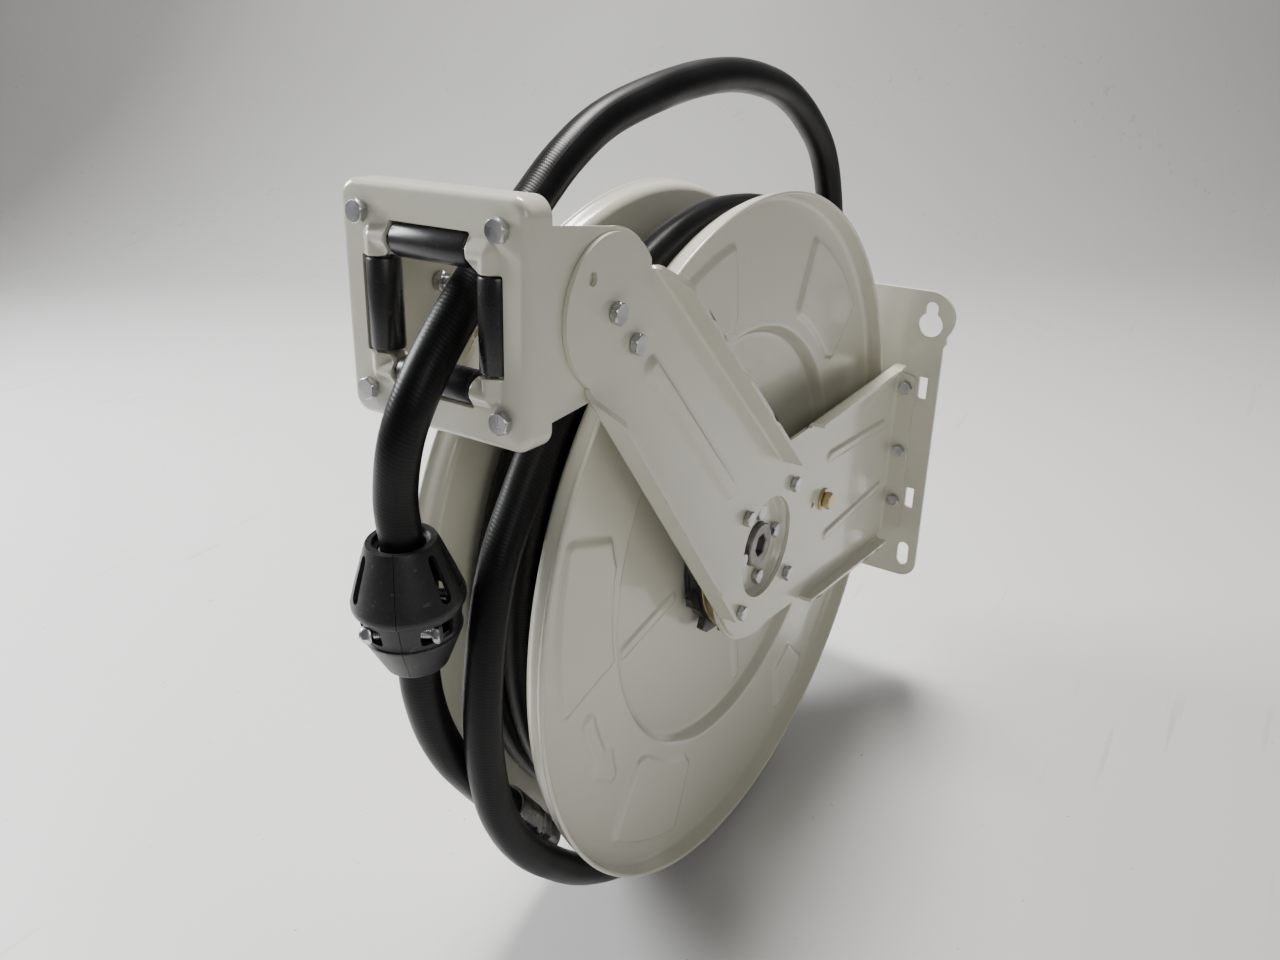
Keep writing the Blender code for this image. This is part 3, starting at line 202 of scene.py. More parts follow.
@dataclass
class Detail:
    """A stretch of a sheet that needs a finer mesh: all that is near a line."""

    line: Array
    reach: float
    spacing: float
    closed: bool = False

    def near(self, points: Array) -> Array:
        """True for the points within reach of the line."""
        return distance_to(points, self.line, self.closed) < self.reach

    def points(self) -> Array:
        """Fine grid over the stretch."""
        low, high = self.line.min(axis=0) - self.reach, self.line.max(axis=0) + self.reach
        grid = even_grid(low, high, self.spacing)
        return grid[self.near(grid)]


def clear_of(points: Array, line: Array, gap: float, closed: bool) -> Array:
    """The points that are further than a gap from a line."""
    return points[distance_to(points, line, closed) > gap]


def triangulated(
    outline: Array, holes: list, guides: list, details: list, spacing: float
) -> tuple[Array, Array]:
    """Flat mesh of an outline with holes, on an even grid of points.

    Args:
        outline: closed outer line.
        holes: closed lines cut out of it.
        guides: further open lines that edges of the mesh follow.
        details: stretches with a finer grid.
        spacing: distance between the grid's points elsewhere.

    Returns:
        The points and the triangles, counter-clockwise.
    """
    loops = [resampled(loop, spacing) for loop in (outline, *holes)]
    lines = [resampled(line, spacing, closed=False) for line in guides]
    blocks = [(even_grid(outline.min(axis=0), outline.max(axis=0), spacing), spacing)]
    for detail in details:
        blocks = [(block[~detail.near(block)], gap) for block, gap in blocks]
        blocks.append((detail.points(), detail.spacing))
    grids = []
    for block, gap in blocks:
        keep = inside(block, loops[0])
        for hole in loops[1:]:
            keep &= ~inside(block, hole)
        block = block[keep]
        for line in loops:
            block = clear_of(block, line, 0.45 * gap, closed=True)
        for line in lines:
            block = clear_of(block, line, 0.35 * gap, closed=False)
        grids.append(block)
    points = np.vstack(loops + lines + grids)
    edges, first = [], 0
    for line, closed in [(loop, True) for loop in loops] + [(line, False) for line in lines]:
        count = len(line)
        last = count if closed else count - 1
        edges += [(first + k, first + (k + 1) % count) for k in range(last)]
        first += count
    out = delaunay_2d_cdt([Vector(p) for p in points.tolist()], edges, [], 0, 1e-7, False)
    flat = np.array([tuple(v) for v in out[0]])
    faces = np.array([f for f in out[2] if len(f) == 3])
    middles = flat[faces].mean(axis=1)
    keep = inside(middles, loops[0])
    for hole in loops[1:]:
        keep &= ~inside(middles, hole)
    faces = faces[keep]
    a, b, c = (flat[faces[:, k]] for k in range(3))
    area = (b[:, 0] - a[:, 0]) * (c[:, 1] - a[:, 1]) - (b[:, 1] - a[:, 1]) * (c[:, 0] - a[:, 0])
    faces = np.where((area < 0)[:, None], faces[:, ::-1], faces)[np.abs(area) > 1e-13]
    used, renumbered = np.unique(faces, return_inverse=True)
    return flat[used], renumbered.reshape(faces.shape)


# ================================================================ meshes
def mesh_object(name: str, points: Array, faces: list, sharp: float = 38.0) -> Object:
    """Link a mesh of points and blocks of faces.

    Args:
        name: the piece's name.
        points: vertices in the row frame.
        faces: arrays of vertex numbers, one per kind of face.
        sharp: edges steeper than this many degrees stay crisp.

    Returns:
        The new object, at the origin.
    """
    mesh = bpy.data.meshes.new(name)
    rows = [row for block in faces for row in np.asarray(block).tolist()]
    mesh.from_pydata(np.asarray(points, float).tolist(), [], rows)
    mesh.update(calc_edges=True)
    mesh.shade_smooth()
    mesh.set_sharp_from_angle(angle=np.radians(sharp))
    obj = bpy.data.objects.new(name, mesh)
    bpy.context.scene.collection.objects.link(obj)
    return obj


def grid_faces(rows: int, columns: int, wrap_rows: bool = False, wrap_columns: bool = False) -> Array:
    """Quads of a grid of rows by columns, numbered row by row."""
    r = np.arange(rows if wrap_rows else rows - 1)
    c = np.arange(columns if wrap_columns else columns - 1)
    r, c = (block.ravel() for block in np.meshgrid(r, c, indexing="ij"))
    up, on = (r + 1) % rows, (c + 1) % columns
    return np.column_stack((r * columns + c, r * columns + on, up * columns + on, up * columns + c))


def swept_rows(radii: Array, turns: Array, rows: Array) -> Array:
    """Points (radius cos a, radius sin a, row) of a block of radii, one line per turn."""
    rows = np.broadcast_to(rows, radii.shape)
    return np.stack((radii * np.cos(turns), radii * np.sin(turns), rows), -1).reshape(-1, 3)


def made_outward(obj: Object) -> Object:
    """Merge doubles and point every face of a closed piece outwards."""
    bm = bmesh.new()
    bm.from_mesh(obj.data)
    bmesh.ops.remove_doubles(bm, verts=bm.verts, dist=2e-6)
    bmesh.ops.recalc_face_normals(bm, faces=bm.faces)
    bm.to_mesh(obj.data)
    bm.free()
    return obj


def placed(points: Array, place: Matrix | None) -> Array:
    """Points carried by a matrix."""
    if place is None:
        return points
    matrix = np.array(place)
    return points @ matrix[:3, :3].T + matrix[:3, 3]


def along(origin: Array, direction: tuple) -> Matrix:
    """Matrix that puts local +Z along a direction, at an origin."""
    turn = Vector(direction).to_track_quat("Z", "X").to_matrix().to_4x4()
    return Matrix.Translation(Vector(origin)) @ turn


def hub_axis(side: Side = Side.RIGHT) -> Matrix:
    """Frame on the drum's axis whose +Z points out through one side."""
    return along(HUB, (side.value, 0, 0))


def turned(name: str, profile: Array, place: Matrix, steps: int = 64, shape: Surface | None = None) -> Object:
    """Closed body turned about local Z.

    A point (radius, height) of the profile at angle a becomes
    (radius cos a, radius sin a, height).

    Args:
        name: the piece's name.
        profile: closed (radius, height) outline; it may touch the axis.
        place: matrix from the local frame to the row frame.
        steps: sides round the axis.
        shape: optional change to the local points before they are placed.

    Returns:
        The new object.
    """
    profile = np.asarray(profile, float)
    turns = np.linspace(0, TURN, steps, endpoint=False)[:, None]
    radii = np.broadcast_to(profile[:, 0], (steps, len(profile)))
    points = swept_rows(radii, turns, profile[:, 1])
    if shape is not None:
        points = shape(points)
    faces = grid_faces(steps, len(profile), True, True)
    obj = mesh_object(name, placed(points, place), [faces])
    made_outward(obj)
    crisp(obj)
    return obj


def crisp(obj: Object, degrees: float = 38.0) -> Object:
    """Set smooth faces and crisp edges again after the mesh has changed."""
    obj.data.shade_smooth()
    obj.data.set_sharp_from_angle(angle=np.radians(degrees))
    return obj


def smooth_curve(points: Array, spacing: float) -> Array:
    """Evenly spaced points on a cubic curve through given ones.

    Between two points the curve is the cubic that has half the chord between
    their neighbours as its slope at each end.
    """
    before = np.vstack((points[:1], points[:-2]))
    after = np.vstack((points[2:], points[-1:]))
    here, there = points[:-1], points[1:]
    slope_in, slope_out = (there - before) / 2, (after - here) / 2
    t = (np.arange(24) / 24)[None, :, None]
    h, g, si, so = (block[:, None, :] for block in (here, there, slope_in, slope_out))
    fine = h + t * si + t ** 2 * (3 * (g - h) - 2 * si - so) + t ** 3 * (2 * (h - g) + si + so)
    fine = np.vstack((fine.reshape(-1, 3), points[-1:]))
    walked = np.concatenate(([0], np.cumsum(np.linalg.norm(np.diff(fine, axis=0), axis=1))))
    stops = np.linspace(0, walked[-1], int(np.ceil(walked[-1] / spacing)) + 1)
    return np.column_stack([np.interp(stops, walked, fine[:, k]) for k in range(3)])


def carried_frames(path: Array) -> tuple[Array, Array, Array]:
    """Tangent and two square directions along a path, turned as little as possible."""
    tangents = np.gradient(path, axis=0)
    tangents /= np.linalg.norm(tangents, axis=1)[:, None]
    side = np.cross(tangents[0], (0.0, 0.0, 1.0))
    if np.linalg.norm(side) < 0.1:
        side = np.cross(tangents[0], (1.0, 0.0, 0.0))
    sides = []
    for tangent in tangents:
        side = side - (side @ tangent) * tangent
        side = side / np.linalg.norm(side)
        sides.append(side)
    sides = np.array(sides)
    return tangents, sides, np.cross(tangents, sides)


def swept_tube(name: str, path: Array, radius: Array | float, sides: int = 24) -> Object:
    """Round tube: a circle carried square to a path, with domed ends.

    Its UV map has metres along the tube in u and turns round it in v.

    Args:
        name: the piece's name.
        path: points of the centreline, metres.
        radius: one radius, or one per point.
        sides: sides of the circle.

    Returns:
        The new object.
    """
    _, across, up = carried_frames(path)
    radii = np.broadcast_to(np.asarray(radius, float), (len(path),))[:, None, None]
    turns = np.linspace(0, TURN, sides, endpoint=False)[None, :, None]
    body = path[:, None] + radii * (np.cos(turns) * across[:, None] + np.sin(turns) * up[:, None])
    count = len(path)
    points = np.vstack((body.reshape(-1, 3), path[:1], path[-1:]))
    quads = grid_faces(count, sides, wrap_columns=True)
    k = np.arange(sides)
    first = np.column_stack((np.full(sides, count * sides), (k + 1) % sides, k))
    base = (count - 1) * sides
    last = np.column_stack((np.full(sides, count * sides + 1), base + k, base + (k + 1) % sides))
    obj = mesh_object(name, points, [quads[:, ::-1], first[:, ::-1], last[:, ::-1]])
    walked = np.concatenate(([0], np.cumsum(np.linalg.norm(np.diff(path, axis=0), axis=1))))
    rows, columns = quads[:, 0] // sides, quads[:, 0] % sides
    corner_rows = np.stack((rows, rows, rows + 1, rows + 1), axis=1)[:, ::-1]
    corner_turns = np.stack((columns, columns + 1, columns + 1, columns), axis=1)[:, ::-1] / sides
    uv = np.stack((walked[corner_rows], corner_turns), axis=-1).reshape(-1, 2)
    caps = np.zeros((6 * sides, 2))
    layer = obj.data.uv_layers.new(name="along")
    layer.data.foreach_set("uv", np.vstack((uv, caps)).ravel())
    if obj.data.vertices[0].normal.dot(Vector(body[0, 0] - path[0])) < 0:
        obj.data.flip_normals()
    return obj


def add_thickness(obj: Object, thickness: float) -> Object:
    """Give a surface its sheet thickness, behind it, with crisp cut edges."""
    wall = obj.modifiers.new("sheet", "SOLIDIFY")
    wall.thickness = thickness
    wall.offset = -1
    edge = obj.modifiers.new("cut_edge", "EDGE_SPLIT")
    edge.split_angle = np.radians(50)
    weigh = obj.modifiers.new("even", "WEIGHTED_NORMAL")
    weigh.keep_sharp = True
    return obj


@dataclass
class Fold:
    """A bend of a sheet: everything past a line stands up towards the front."""

    start: tuple
    end: tuple
    radius: float

    @property
    def outward(self) -> Array:
        """Unit direction square to the bend, to the right of start to end."""
        run = np.array(self.end) - np.array(self.start)
        return np.array((run[1], -run[0])) / np.linalg.norm(run)

    def lines(self) -> list:
        """Lines along the bend that the flat mesh follows."""
        ends = np.array((self.start, self.end))
        bend = self.radius * np.pi / 2
        return [ends + self.outward * bend * share for share in np.linspace(0, 1, 6)]

    def bent(self, flat: Array, points: Array) -> Array:
        """Bend the points that lie past the line and within its length.

        At a distance d past it a point turns by d / radius, up to a quarter
        turn, and goes straight up from there.
        """
        n = self.outward
        run = np.array(self.end) - np.array(self.start)
        length = np.linalg.norm(run)
        walked = (flat - np.array(self.start)) @ (run / length)
        in_span = (walked > -0.05 * MM) & (walked < length + 0.05 * MM)
        past = np.where(in_span, (flat - np.array(self.start)) @ n, -1.0)
        turn = np.clip(past / self.radius, 0, np.pi / 2)
        rise = np.maximum(past - self.radius * np.pi / 2, 0)
        height = points[:, 2]
        move = np.where(past > 0, self.radius * np.sin(turn) - past - height * np.sin(turn), 0)
        out = points.copy()
        out[:, :2] += move[:, None] * n
        lift = self.radius * (1 - np.cos(turn)) + rise + height * np.cos(turn)
        out[:, 2] = np.where(past > 0, lift, height)
        return out


@dataclass
class PressedSheet:
    """A sheet blank with holes, pressed heights and folds."""

    outline: Array
    holes: list
    folds: list
    details: list
    height: Surface
    spacing: float = 6 * MM

    def built(self, name: str, onto: Surface, thickness: float, mirrored: bool = False) -> Object:
        """Press, fold and place the blank.

        Args:
            name: the piece's name.
            onto: turns (u, v, height) points into row frame points.
            thickness: the sheet's thickness, behind the drawn face.
            mirrored: whether to reflect the piece in x = 0.

        Returns:
            The new object.
        """
        guides = [line for fold in self.folds for line in fold.lines()]
        flat, faces = triangulated(self.outline, self.holes, guides, self.details, self.spacing)
        points = np.column_stack((flat, self.height(flat)))
        for fold in self.folds:
            points = fold.bent(flat, points)
        points = onto(points)
        if mirrored:
            points = points * (-1, 1, 1)
            faces = faces[:, ::-1]
        obj = mesh_object(name, points, [faces], sharp=60)
        return add_thickness(obj, thickness)


# ================================================================ finishes
class Graph:
    """A node tree with short words for adding and joining nodes."""

    def __init__(self, tree: bpy.types.NodeTree) -> None:
        """Work on one node tree."""
        self.tree = tree

    def node(self, kind: str, **values: object) -> Node:
        """Add a node; names that it has become settings, others input values."""
        made = self.tree.nodes.new(kind)
        for key, value in values.items():
            if hasattr(made, key):
                setattr(made, key, value)
            else:
                made.inputs[key.replace("_", " ")].default_value = value
        return made

    def join(self, start: Socket, end: Socket) -> None:
        """Link an output to an input."""
        self.tree.links.new(start, end)

    def maths(self, operation: str, first: object, second: object = None) -> Socket:
        """Maths node on sockets or numbers; returns its output."""
        made = self.node("ShaderNodeMath", operation=operation)
        for k, value in enumerate((first, second)):
            if isinstance(value, (int, float)):
                made.inputs[k].default_value = value
            elif value is not None:
                self.join(value, made.inputs[k])
        return made.outputs[0]

    def spread(self, value: Socket, low: float, high: float, to: tuple) -> Socket:
        """Map a value from low..high to the two numbers in to, held at both ends."""
        made = self.node("ShaderNodeMapRange")
        for k, number in enumerate((low, high, *to)):
            made.inputs[k + 1].default_value = number
        self.join(value, made.inputs[0])
        return made.outputs[0]

    def mixed(self, share: object, first: object, second: object) -> Socket:
        """Mix two colours, given as sockets or triples; returns the colour."""
        made = self.node("ShaderNodeMix", data_type="RGBA")
        for index, value in ((0, share), (6, first), (7, second)):
            if isinstance(value, Socket):
                self.join(value, made.inputs[index])
            elif isinstance(value, tuple):
                made.inputs[index].default_value = (*value, 1)
            else:
                made.inputs[index].default_value = value
        return made.outputs[2]


class Effect(Enum):
    """Surface effects that several finishes share, each one node group."""

    EDGE_WEAR = "edge_wear"
    ORANGE_PEEL = "orange_peel"
    SMUDGES = "smudges"
    SETTLED_DUST = "settled_dust"
    BRUSHED = "brushed_grain"


def new_group(name: str, inputs: dict, outputs: tuple) -> tuple[bpy.types.NodeTree, Graph]:
    """Start a node group with named float inputs, a Vector input and float outputs."""
    tree = bpy.data.node_groups.new(name, "ShaderNodeTree")
    tree.interface.new_socket(name="Vector", in_out="INPUT", socket_type="NodeSocketVector")
    for key, value in inputs.items():
        made = tree.interface.new_socket(name=key, in_out="INPUT", socket_type="NodeSocketFloat")
        made.default_value = value
    for key in outputs:
        tree.interface.new_socket(name=key, in_out="OUTPUT", socket_type="NodeSocketFloat")
    return tree, Graph(tree)


def noise(graph: Graph, vector: Socket, scale: object, detail: float = 3.0) -> Socket:
    """Noise at a scale on a vector; returns its value."""
    made = graph.node("ShaderNodeTexNoise")
    made.inputs["Detail"].default_value = detail
    if isinstance(scale, Socket):
        graph.join(scale, made.inputs["Scale"])
    else:
        made.inputs["Scale"].default_value = scale
    graph.join(vector, made.inputs["Vector"])
    return made.outputs["Fac"]


def edge_wear_group() -> bpy.types.NodeTree:
    """Mask of rubbed edges: how sharply the surface stands out, broken up by noise."""
    tree, g = new_group("edge_wear", {"Amount": 0.5, "Scale": 240.0}, ("Mask",))
    start, end = g.node("NodeGroupInput"), g.node("NodeGroupOutput")
    sharp = g.node("ShaderNodeNewGeometry").outputs["Pointiness"]
    broken = noise(g, start.outputs["Vector"], start.outputs["Scale"], 4.0)
    raised = g.spread(sharp, 0.57, 0.70, (0.0, 1.0))
    mask = g.maths("MULTIPLY", raised, g.spread(broken, 0.42, 0.62, (0.0, 1.0)))
    g.join(g.maths("MULTIPLY", mask, start.outputs["Amount"]), end.inputs["Mask"])
    return tree


def orange_peel_group() -> bpy.types.NodeTree:
    """Height of a sprayed skin: a soft fine noise over a broad slow one."""
    tree, g = new_group("orange_peel", {"Scale": 700.0}, ("Height",))
    start, end = g.node("NodeGroupInput"), g.node("NodeGroupOutput")
    fine = noise(g, start.outputs["Vector"], start.outputs["Scale"], 1.5)
    broad = noise(g, start.outputs["Vector"], 55.0, 1.0)
    g.join(g.maths("ADD", fine, g.maths("MULTIPLY", broad, 1.6)), end.inputs["Height"])
    return tree


def smudges_group() -> bpy.types.NodeTree:
    """Slow variation, as handling and storage leave it, with a few fine streaks."""
    tree, g = new_group("smudges", {"Scale": 9.0}, ("Tone", "Streak"))
    start, end = g.node("NodeGroupInput"), g.node("NodeGroupOutput")
    g.join(g.spread(noise(g, start.outputs["Vector"], start.outputs["Scale"], 5.0), 0.3, 0.7, (0.0, 1.0)),
           end.inputs["Tone"])
    stretch = g.node("ShaderNodeMapping")
    stretch.inputs["Scale"].default_value = (1.0, 0.06, 0.9)
    stretch.inputs["Rotation"].default_value = (0.4, 0.2, 0.7)
    g.join(start.outputs["Vector"], stretch.inputs["Vector"])
    streaks = noise(g, stretch.outputs["Vector"], 420.0, 2.0)
    g.join(g.spread(streaks, 0.66, 0.74, (0.0, 1.0)), end.inputs["Streak"])
    return tree


def settled_dust_group() -> bpy.types.NodeTree:
    """Mask of dust: more where the surface faces up, in specks and patches."""
    tree, g = new_group("settled_dust", {"Amount": 0.4}, ("Mask",))
    start, end = g.node("NodeGroupInput"), g.node("NodeGroupOutput")
    parts = g.node("ShaderNodeSeparateXYZ")
    g.join(g.node("ShaderNodeNewGeometry").outputs["Normal"], parts.inputs[0])
    up = g.spread(parts.outputs[2], -0.2, 1.0, (0.15, 1.0))
    specks = g.spread(noise(g, start.outputs["Vector"], 900.0, 2.0), 0.60, 0.72, (0.0, 1.0))
    patches = g.spread(noise(g, start.outputs["Vector"], 30.0, 4.0), 0.35, 0.75, (0.0, 0.6))
    both = g.maths("ADD", specks, patches)
    g.join(g.maths("MULTIPLY", g.maths("MULTIPLY", both, up), start.outputs["Amount"]), end.inputs["Mask"])
    return tree


def brushed_group() -> bpy.types.NodeTree:
    """Height and tone of fine machining lines round X."""
    tree, g = new_group("brushed_grain", {"Scale": 900.0}, ("Height", "Tone"))
    start, end = g.node("NodeGroupInput"), g.node("NodeGroupOutput")
    stretch = g.node("ShaderNodeMapping")
    stretch.inputs["Scale"].default_value = (1.0, 0.12, 0.12)
    g.join(start.outputs["Vector"], stretch.inputs["Vector"])
    lines = noise(g, stretch.outputs["Vector"], start.outputs["Scale"], 2.0)
    g.join(lines, end.inputs["Height"])
    g.join(noise(g, start.outputs["Vector"], 130.0, 3.0), end.inputs["Tone"])
    return tree


GROUP_MAKERS = {
    Effect.EDGE_WEAR: edge_wear_group,
    Effect.ORANGE_PEEL: orange_peel_group,
    Effect.SMUDGES: smudges_group,
    Effect.SETTLED_DUST: settled_dust_group,
    Effect.BRUSHED: brushed_group,
}


def effect(graph: Graph, kind: Effect, vector: Socket, **values: float) -> Node:
    """Place a shared effect in a material, with its own values."""
    tree = bpy.data.node_groups.get(kind.value) or GROUP_MAKERS[kind]()
    made = graph.node("ShaderNodeGroup")
    made.node_tree = tree
    graph.join(vector, made.inputs["Vector"])
    for key, value in values.items():
        made.inputs[key].default_value = value
    return made


@dataclass(frozen=True)
class Finish:
    """Common part of every finish: its name and shader constants."""

    name: str
    colour: tuple
    roughness: float = 0.4
    metallic: float = 0.0

    def material(self) -> Material:
        """The finish's material, made on first use."""
        made = bpy.data.materials.get(self.name)
        if made is None:
            made = bpy.data.materials.new(self.name)
            made.use_nodes = True
            graph = Graph(made.node_tree)
            shader = made.node_tree.nodes["Principled BSDF"]
            shader.inputs["Metallic"].default_value = self.metallic
            self.dress(graph, shader)
        return made

    def dress(self, graph: Graph, shader: Node) -> None:
        """Build the finish's own nodes."""
        raise NotImplementedError

    def on(self, *objects: Object) -> None:
        """Put the finish on objects in place of what they had."""
        for obj in objects:
            obj.data.materials.clear()
            obj.data.materials.append(self.material())


def object_vector(graph: Graph) -> Socket:
    """The piece's own coordinates, metres."""
    return graph.node("ShaderNodeTexCoord").outputs["Object"]


def add_bump(graph: Graph, shader: Node, height: Socket, strength: float, size: float) -> None:
    """Bump of a height in metres times size, into the shader's normal."""
    made = graph.node("ShaderNodeBump")
    made.inputs["Strength"].default_value = strength
    made.inputs["Distance"].default_value = size
    graph.join(height, made.inputs["Height"])
    graph.join(made.outputs[0], shader.inputs["Normal"])


@dataclass(frozen=True)
class PowderCoat(Finish):
    """Sprayed and baked paint over steel: glossy, with a slight skin."""

    steel: tuple = (0.22, 0.21, 0.20)
    wear: float = 0.05

    def dress(self, graph: Graph, shader: Node) -> None:
        """Paint that is rubbed at its edges, with skin, smudges and dust."""
        vector = object_vector(graph)
        marks = effect(graph, Effect.SMUDGES, vector, Scale=14.0)
        worn = effect(graph, Effect.EDGE_WEAR, vector, Amount=self.wear, Scale=520.0)
        dust = effect(graph, Effect.SETTLED_DUST, vector, Amount=0.04)
        skin = effect(graph, Effect.ORANGE_PEEL, vector, Scale=430.0)
        warm = tuple(c * s for c, s in zip(self.colour, (0.975, 0.97, 0.955)))
        paint = graph.mixed(marks.outputs["Tone"], self.colour, warm)
        dusty = graph.mixed(dust.outputs["Mask"], paint, (0.36, 0.34, 0.31))
        graph.join(graph.mixed(worn.outputs["Mask"], dusty, self.steel), shader.inputs["Base Color"])
        dull = graph.spread(marks.outputs["Tone"], 0, 1, (self.roughness - 0.01, self.roughness + 0.02))
        scuffed = graph.maths("ADD", dull, graph.maths("MULTIPLY", marks.outputs["Streak"], 0.006))
        graph.join(scuffed, shader.inputs["Roughness"])
        shader.inputs["Coat Weight"].default_value = 0.5
        shader.inputs["Coat Roughness"].default_value = 0.10
        add_bump(graph, shader, skin.outputs["Height"], 0.20, 0.00022)


@dataclass(frozen=True)
class Plating(Finish):
    """Plated or bare metal with stains and a fine grain."""

    stain: tuple = (0.30, 0.30, 0.31)
    grain: float = 0.12

    def dress(self, graph: Graph, shader: Node) -> None:
        """Metal whose colour and gloss shift in blotches, with turning lines."""
        vector = object_vector(graph)
        marks = effect(graph, Effect.SMUDGES, vector, Scale=120.0)
        lines = effect(graph, Effect.BRUSHED, vector, Scale=1500.0)
        worn = effect(graph, Effect.EDGE_WEAR, vector, Amount=0.6, Scale=700.0)
        stained = graph.mixed(graph.maths("MULTIPLY", marks.outputs["Tone"], 0.7), self.colour, self.stain)
        bright = tuple(min(1.0, c * 1.35) for c in self.colour)
        graph.join(graph.mixed(worn.outputs["Mask"], stained, bright), shader.inputs["Base Color"])
        gloss = graph.spread(lines.outputs["Tone"], 0.3, 0.7, (self.roughness - 0.06, self.roughness + 0.12))
        graph.join(gloss, shader.inputs["Roughness"])
        add_bump(graph, shader, lines.outputs["Height"], self.grain, 0.0003)


@dataclass(frozen=True)
class Moulding(Finish):
    """Moulded plastic: satin, faintly grained, greyer where it is rubbed."""

    grain: float = 1400.0
    rubbed: tuple = (0.10, 0.10, 0.105)
    depth: float = 0.25

    def dress(self, graph: Graph, shader: Node) -> None:
        """Dark plastic with grain, dust and rubbed edges."""
        vector = object_vector(graph)
        marks = effect(graph, Effect.SMUDGES, vector, Scale=45.0)
        dust = effect(graph, Effect.SETTLED_DUST, vector, Amount=0.16)
        worn = effect(graph, Effect.EDGE_WEAR, vector, Amount=0.5, Scale=600.0)
        skin = effect(graph, Effect.ORANGE_PEEL, vector, Scale=self.grain)
        plain = graph.mixed(graph.maths("MULTIPLY", marks.outputs["Streak"], 0.5), self.colour, self.rubbed)
        dusty = graph.mixed(dust.outputs["Mask"], plain, (0.20, 0.19, 0.18))
        graph.join(graph.mixed(worn.outputs["Mask"], dusty, self.rubbed), shader.inputs["Base Color"])
        graph.join(graph.spread(marks.outputs["Tone"], 0, 1, (self.roughness - 0.07, self.roughness + 0.09)),
                   shader.inputs["Roughness"])
        add_bump(graph, shader, skin.outputs["Height"], self.depth, 0.0002)


@dataclass(frozen=True)
class WrappedRubber(Finish):
    """Hose cover cured in a cloth wrap: fine rings and a weave, and a seam."""

    rubbed: tuple = (0.022, 0.022, 0.024)
    pitch: float = 0.0019

    def dress(self, graph: Graph, shader: Node) -> None:
        """Rubber with the wrap's print, read from the hose's own length and turn.

        The print is a wave along the length, leaned by the turn, times a finer
        cloth weave; the seam is a narrow ridge at one turn.
        """
        place = graph.node("ShaderNodeTexCoord")
        vector = place.outputs["Object"]
        parts = graph.node("ShaderNodeSeparateXYZ")
        graph.join(place.outputs["UV"], parts.inputs[0])
        length, turn = parts.outputs[0], parts.outputs[1]
        lean = graph.maths("MULTIPLY", turn, 0.012)
        phase = graph.maths("MULTIPLY", graph.maths("ADD", length, lean), TURN / self.pitch)
        uneven = noise(graph, vector, 160.0, 3.0)
        phase = graph.maths("ADD", phase, graph.maths("MULTIPLY", uneven, 7.0))
        rings = graph.maths("SINE", phase)
        threads = graph.maths("SINE", graph.maths("MULTIPLY", turn, TURN * 58))
        weave = graph.maths("ADD", graph.maths("MULTIPLY", threads, 0.35), 1.0)
        cloth = graph.maths("MULTIPLY", rings, weave)
        seam = graph.maths("ABSOLUTE", graph.maths("SUBTRACT", turn, 0.62))
        ridge = graph.spread(seam, 0.0, 0.012, (2.2, 0.0))
        marks = effect(graph, Effect.SMUDGES, vector, Scale=26.0)
        dust = effect(graph, Effect.SETTLED_DUST, vector, Amount=0.04)
        tone = graph.maths("MULTIPLY", graph.spread(rings, -1, 1, (0.0, 0.35)), marks.outputs["Tone"])
        plain = graph.mixed(tone, self.colour, self.rubbed)
        graph.join(graph.mixed(dust.outputs["Mask"], plain, (0.16, 0.155, 0.15)), shader.inputs["Base Color"])
        graph.join(graph.spread(marks.outputs["Tone"], 0, 1, (self.roughness - 0.10, self.roughness + 0.08)),
                   shader.inputs["Roughness"])
        shader.inputs["Specular IOR Level"].default_value = 0.18
        add_bump(graph, shader, graph.maths("ADD", cloth, ridge), 0.16, 0.00013)


PAINT = PowderCoat("warm_grey_powder_coat", (0.68, 0.665, 0.57), 0.24)
ZINC = Plating("bright_zinc", (0.62, 0.63, 0.64), 0.30, 1.0)
YELLOW_ZINC = Plating("yellow_zinc", (0.62, 0.57, 0.42), 0.32, 1.0, stain=(0.45, 0.42, 0.36))
STEEL = Plating("turned_steel", (0.30, 0.295, 0.29), 0.42, 1.0, stain=(0.16, 0.15, 0.145))
SPRING_STEEL = Plating("spring_steel", (0.22, 0.22, 0.24), 0.36, 1.0, stain=(0.12, 0.12, 0.13))
BRASS = Plating("machined_brass", (0.72, 0.56, 0.28), 0.30, 1.0, stain=(0.46, 0.34, 0.17))
BRONZE = Plating("bearing_bronze", (0.56, 0.38, 0.20), 0.40, 1.0, stain=(0.36, 0.24, 0.13))
BLACK_ENAMEL = Moulding("black_enamel", (0.022, 0.022, 0.023), 0.36, rubbed=(0.16, 0.155, 0.15), depth=0.15)
NYLON = Moulding("black_nylon", (0.014, 0.014, 0.015), 0.30, grain=900.0, depth=0.10)
BALL_PLASTIC = Moulding("black_moulding", (0.009, 0.0095, 0.011), 0.40)
RUBBER = WrappedRubber("wrapped_rubber", (0.006, 0.006, 0.0065), 0.38)
SEAL_RUBBER = Moulding("seal_rubber", (0.02, 0.02, 0.02), 0.6)


def keep(node: str, finish: Finish, slot: str | None = None) -> None:
    """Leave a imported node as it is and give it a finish."""
    finish.on(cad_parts[node])
    log.info("kept %s", node)


def put(obj: Object, body: str, slot: str, finish: Finish, *nodes: str) -> Object:
    """Dress a new piece, ride it on a body and hide the imported nodes it stands for."""
    finish.on(obj)
    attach(obj, body)
    if nodes:
        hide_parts(*nodes)
    log.info("built %s on %s", obj.name, body)
    return obj


# ================================================================ fasteners
def hex_radius(turns: Array, flats: float) -> Array:
    """Distance to a hexagon's side at an angle: half its flats over the cosine from the nearest flat."""
    return flats / 2 / np.cos((turns + np.pi / 6) % (np.pi / 3) - np.pi / 6)


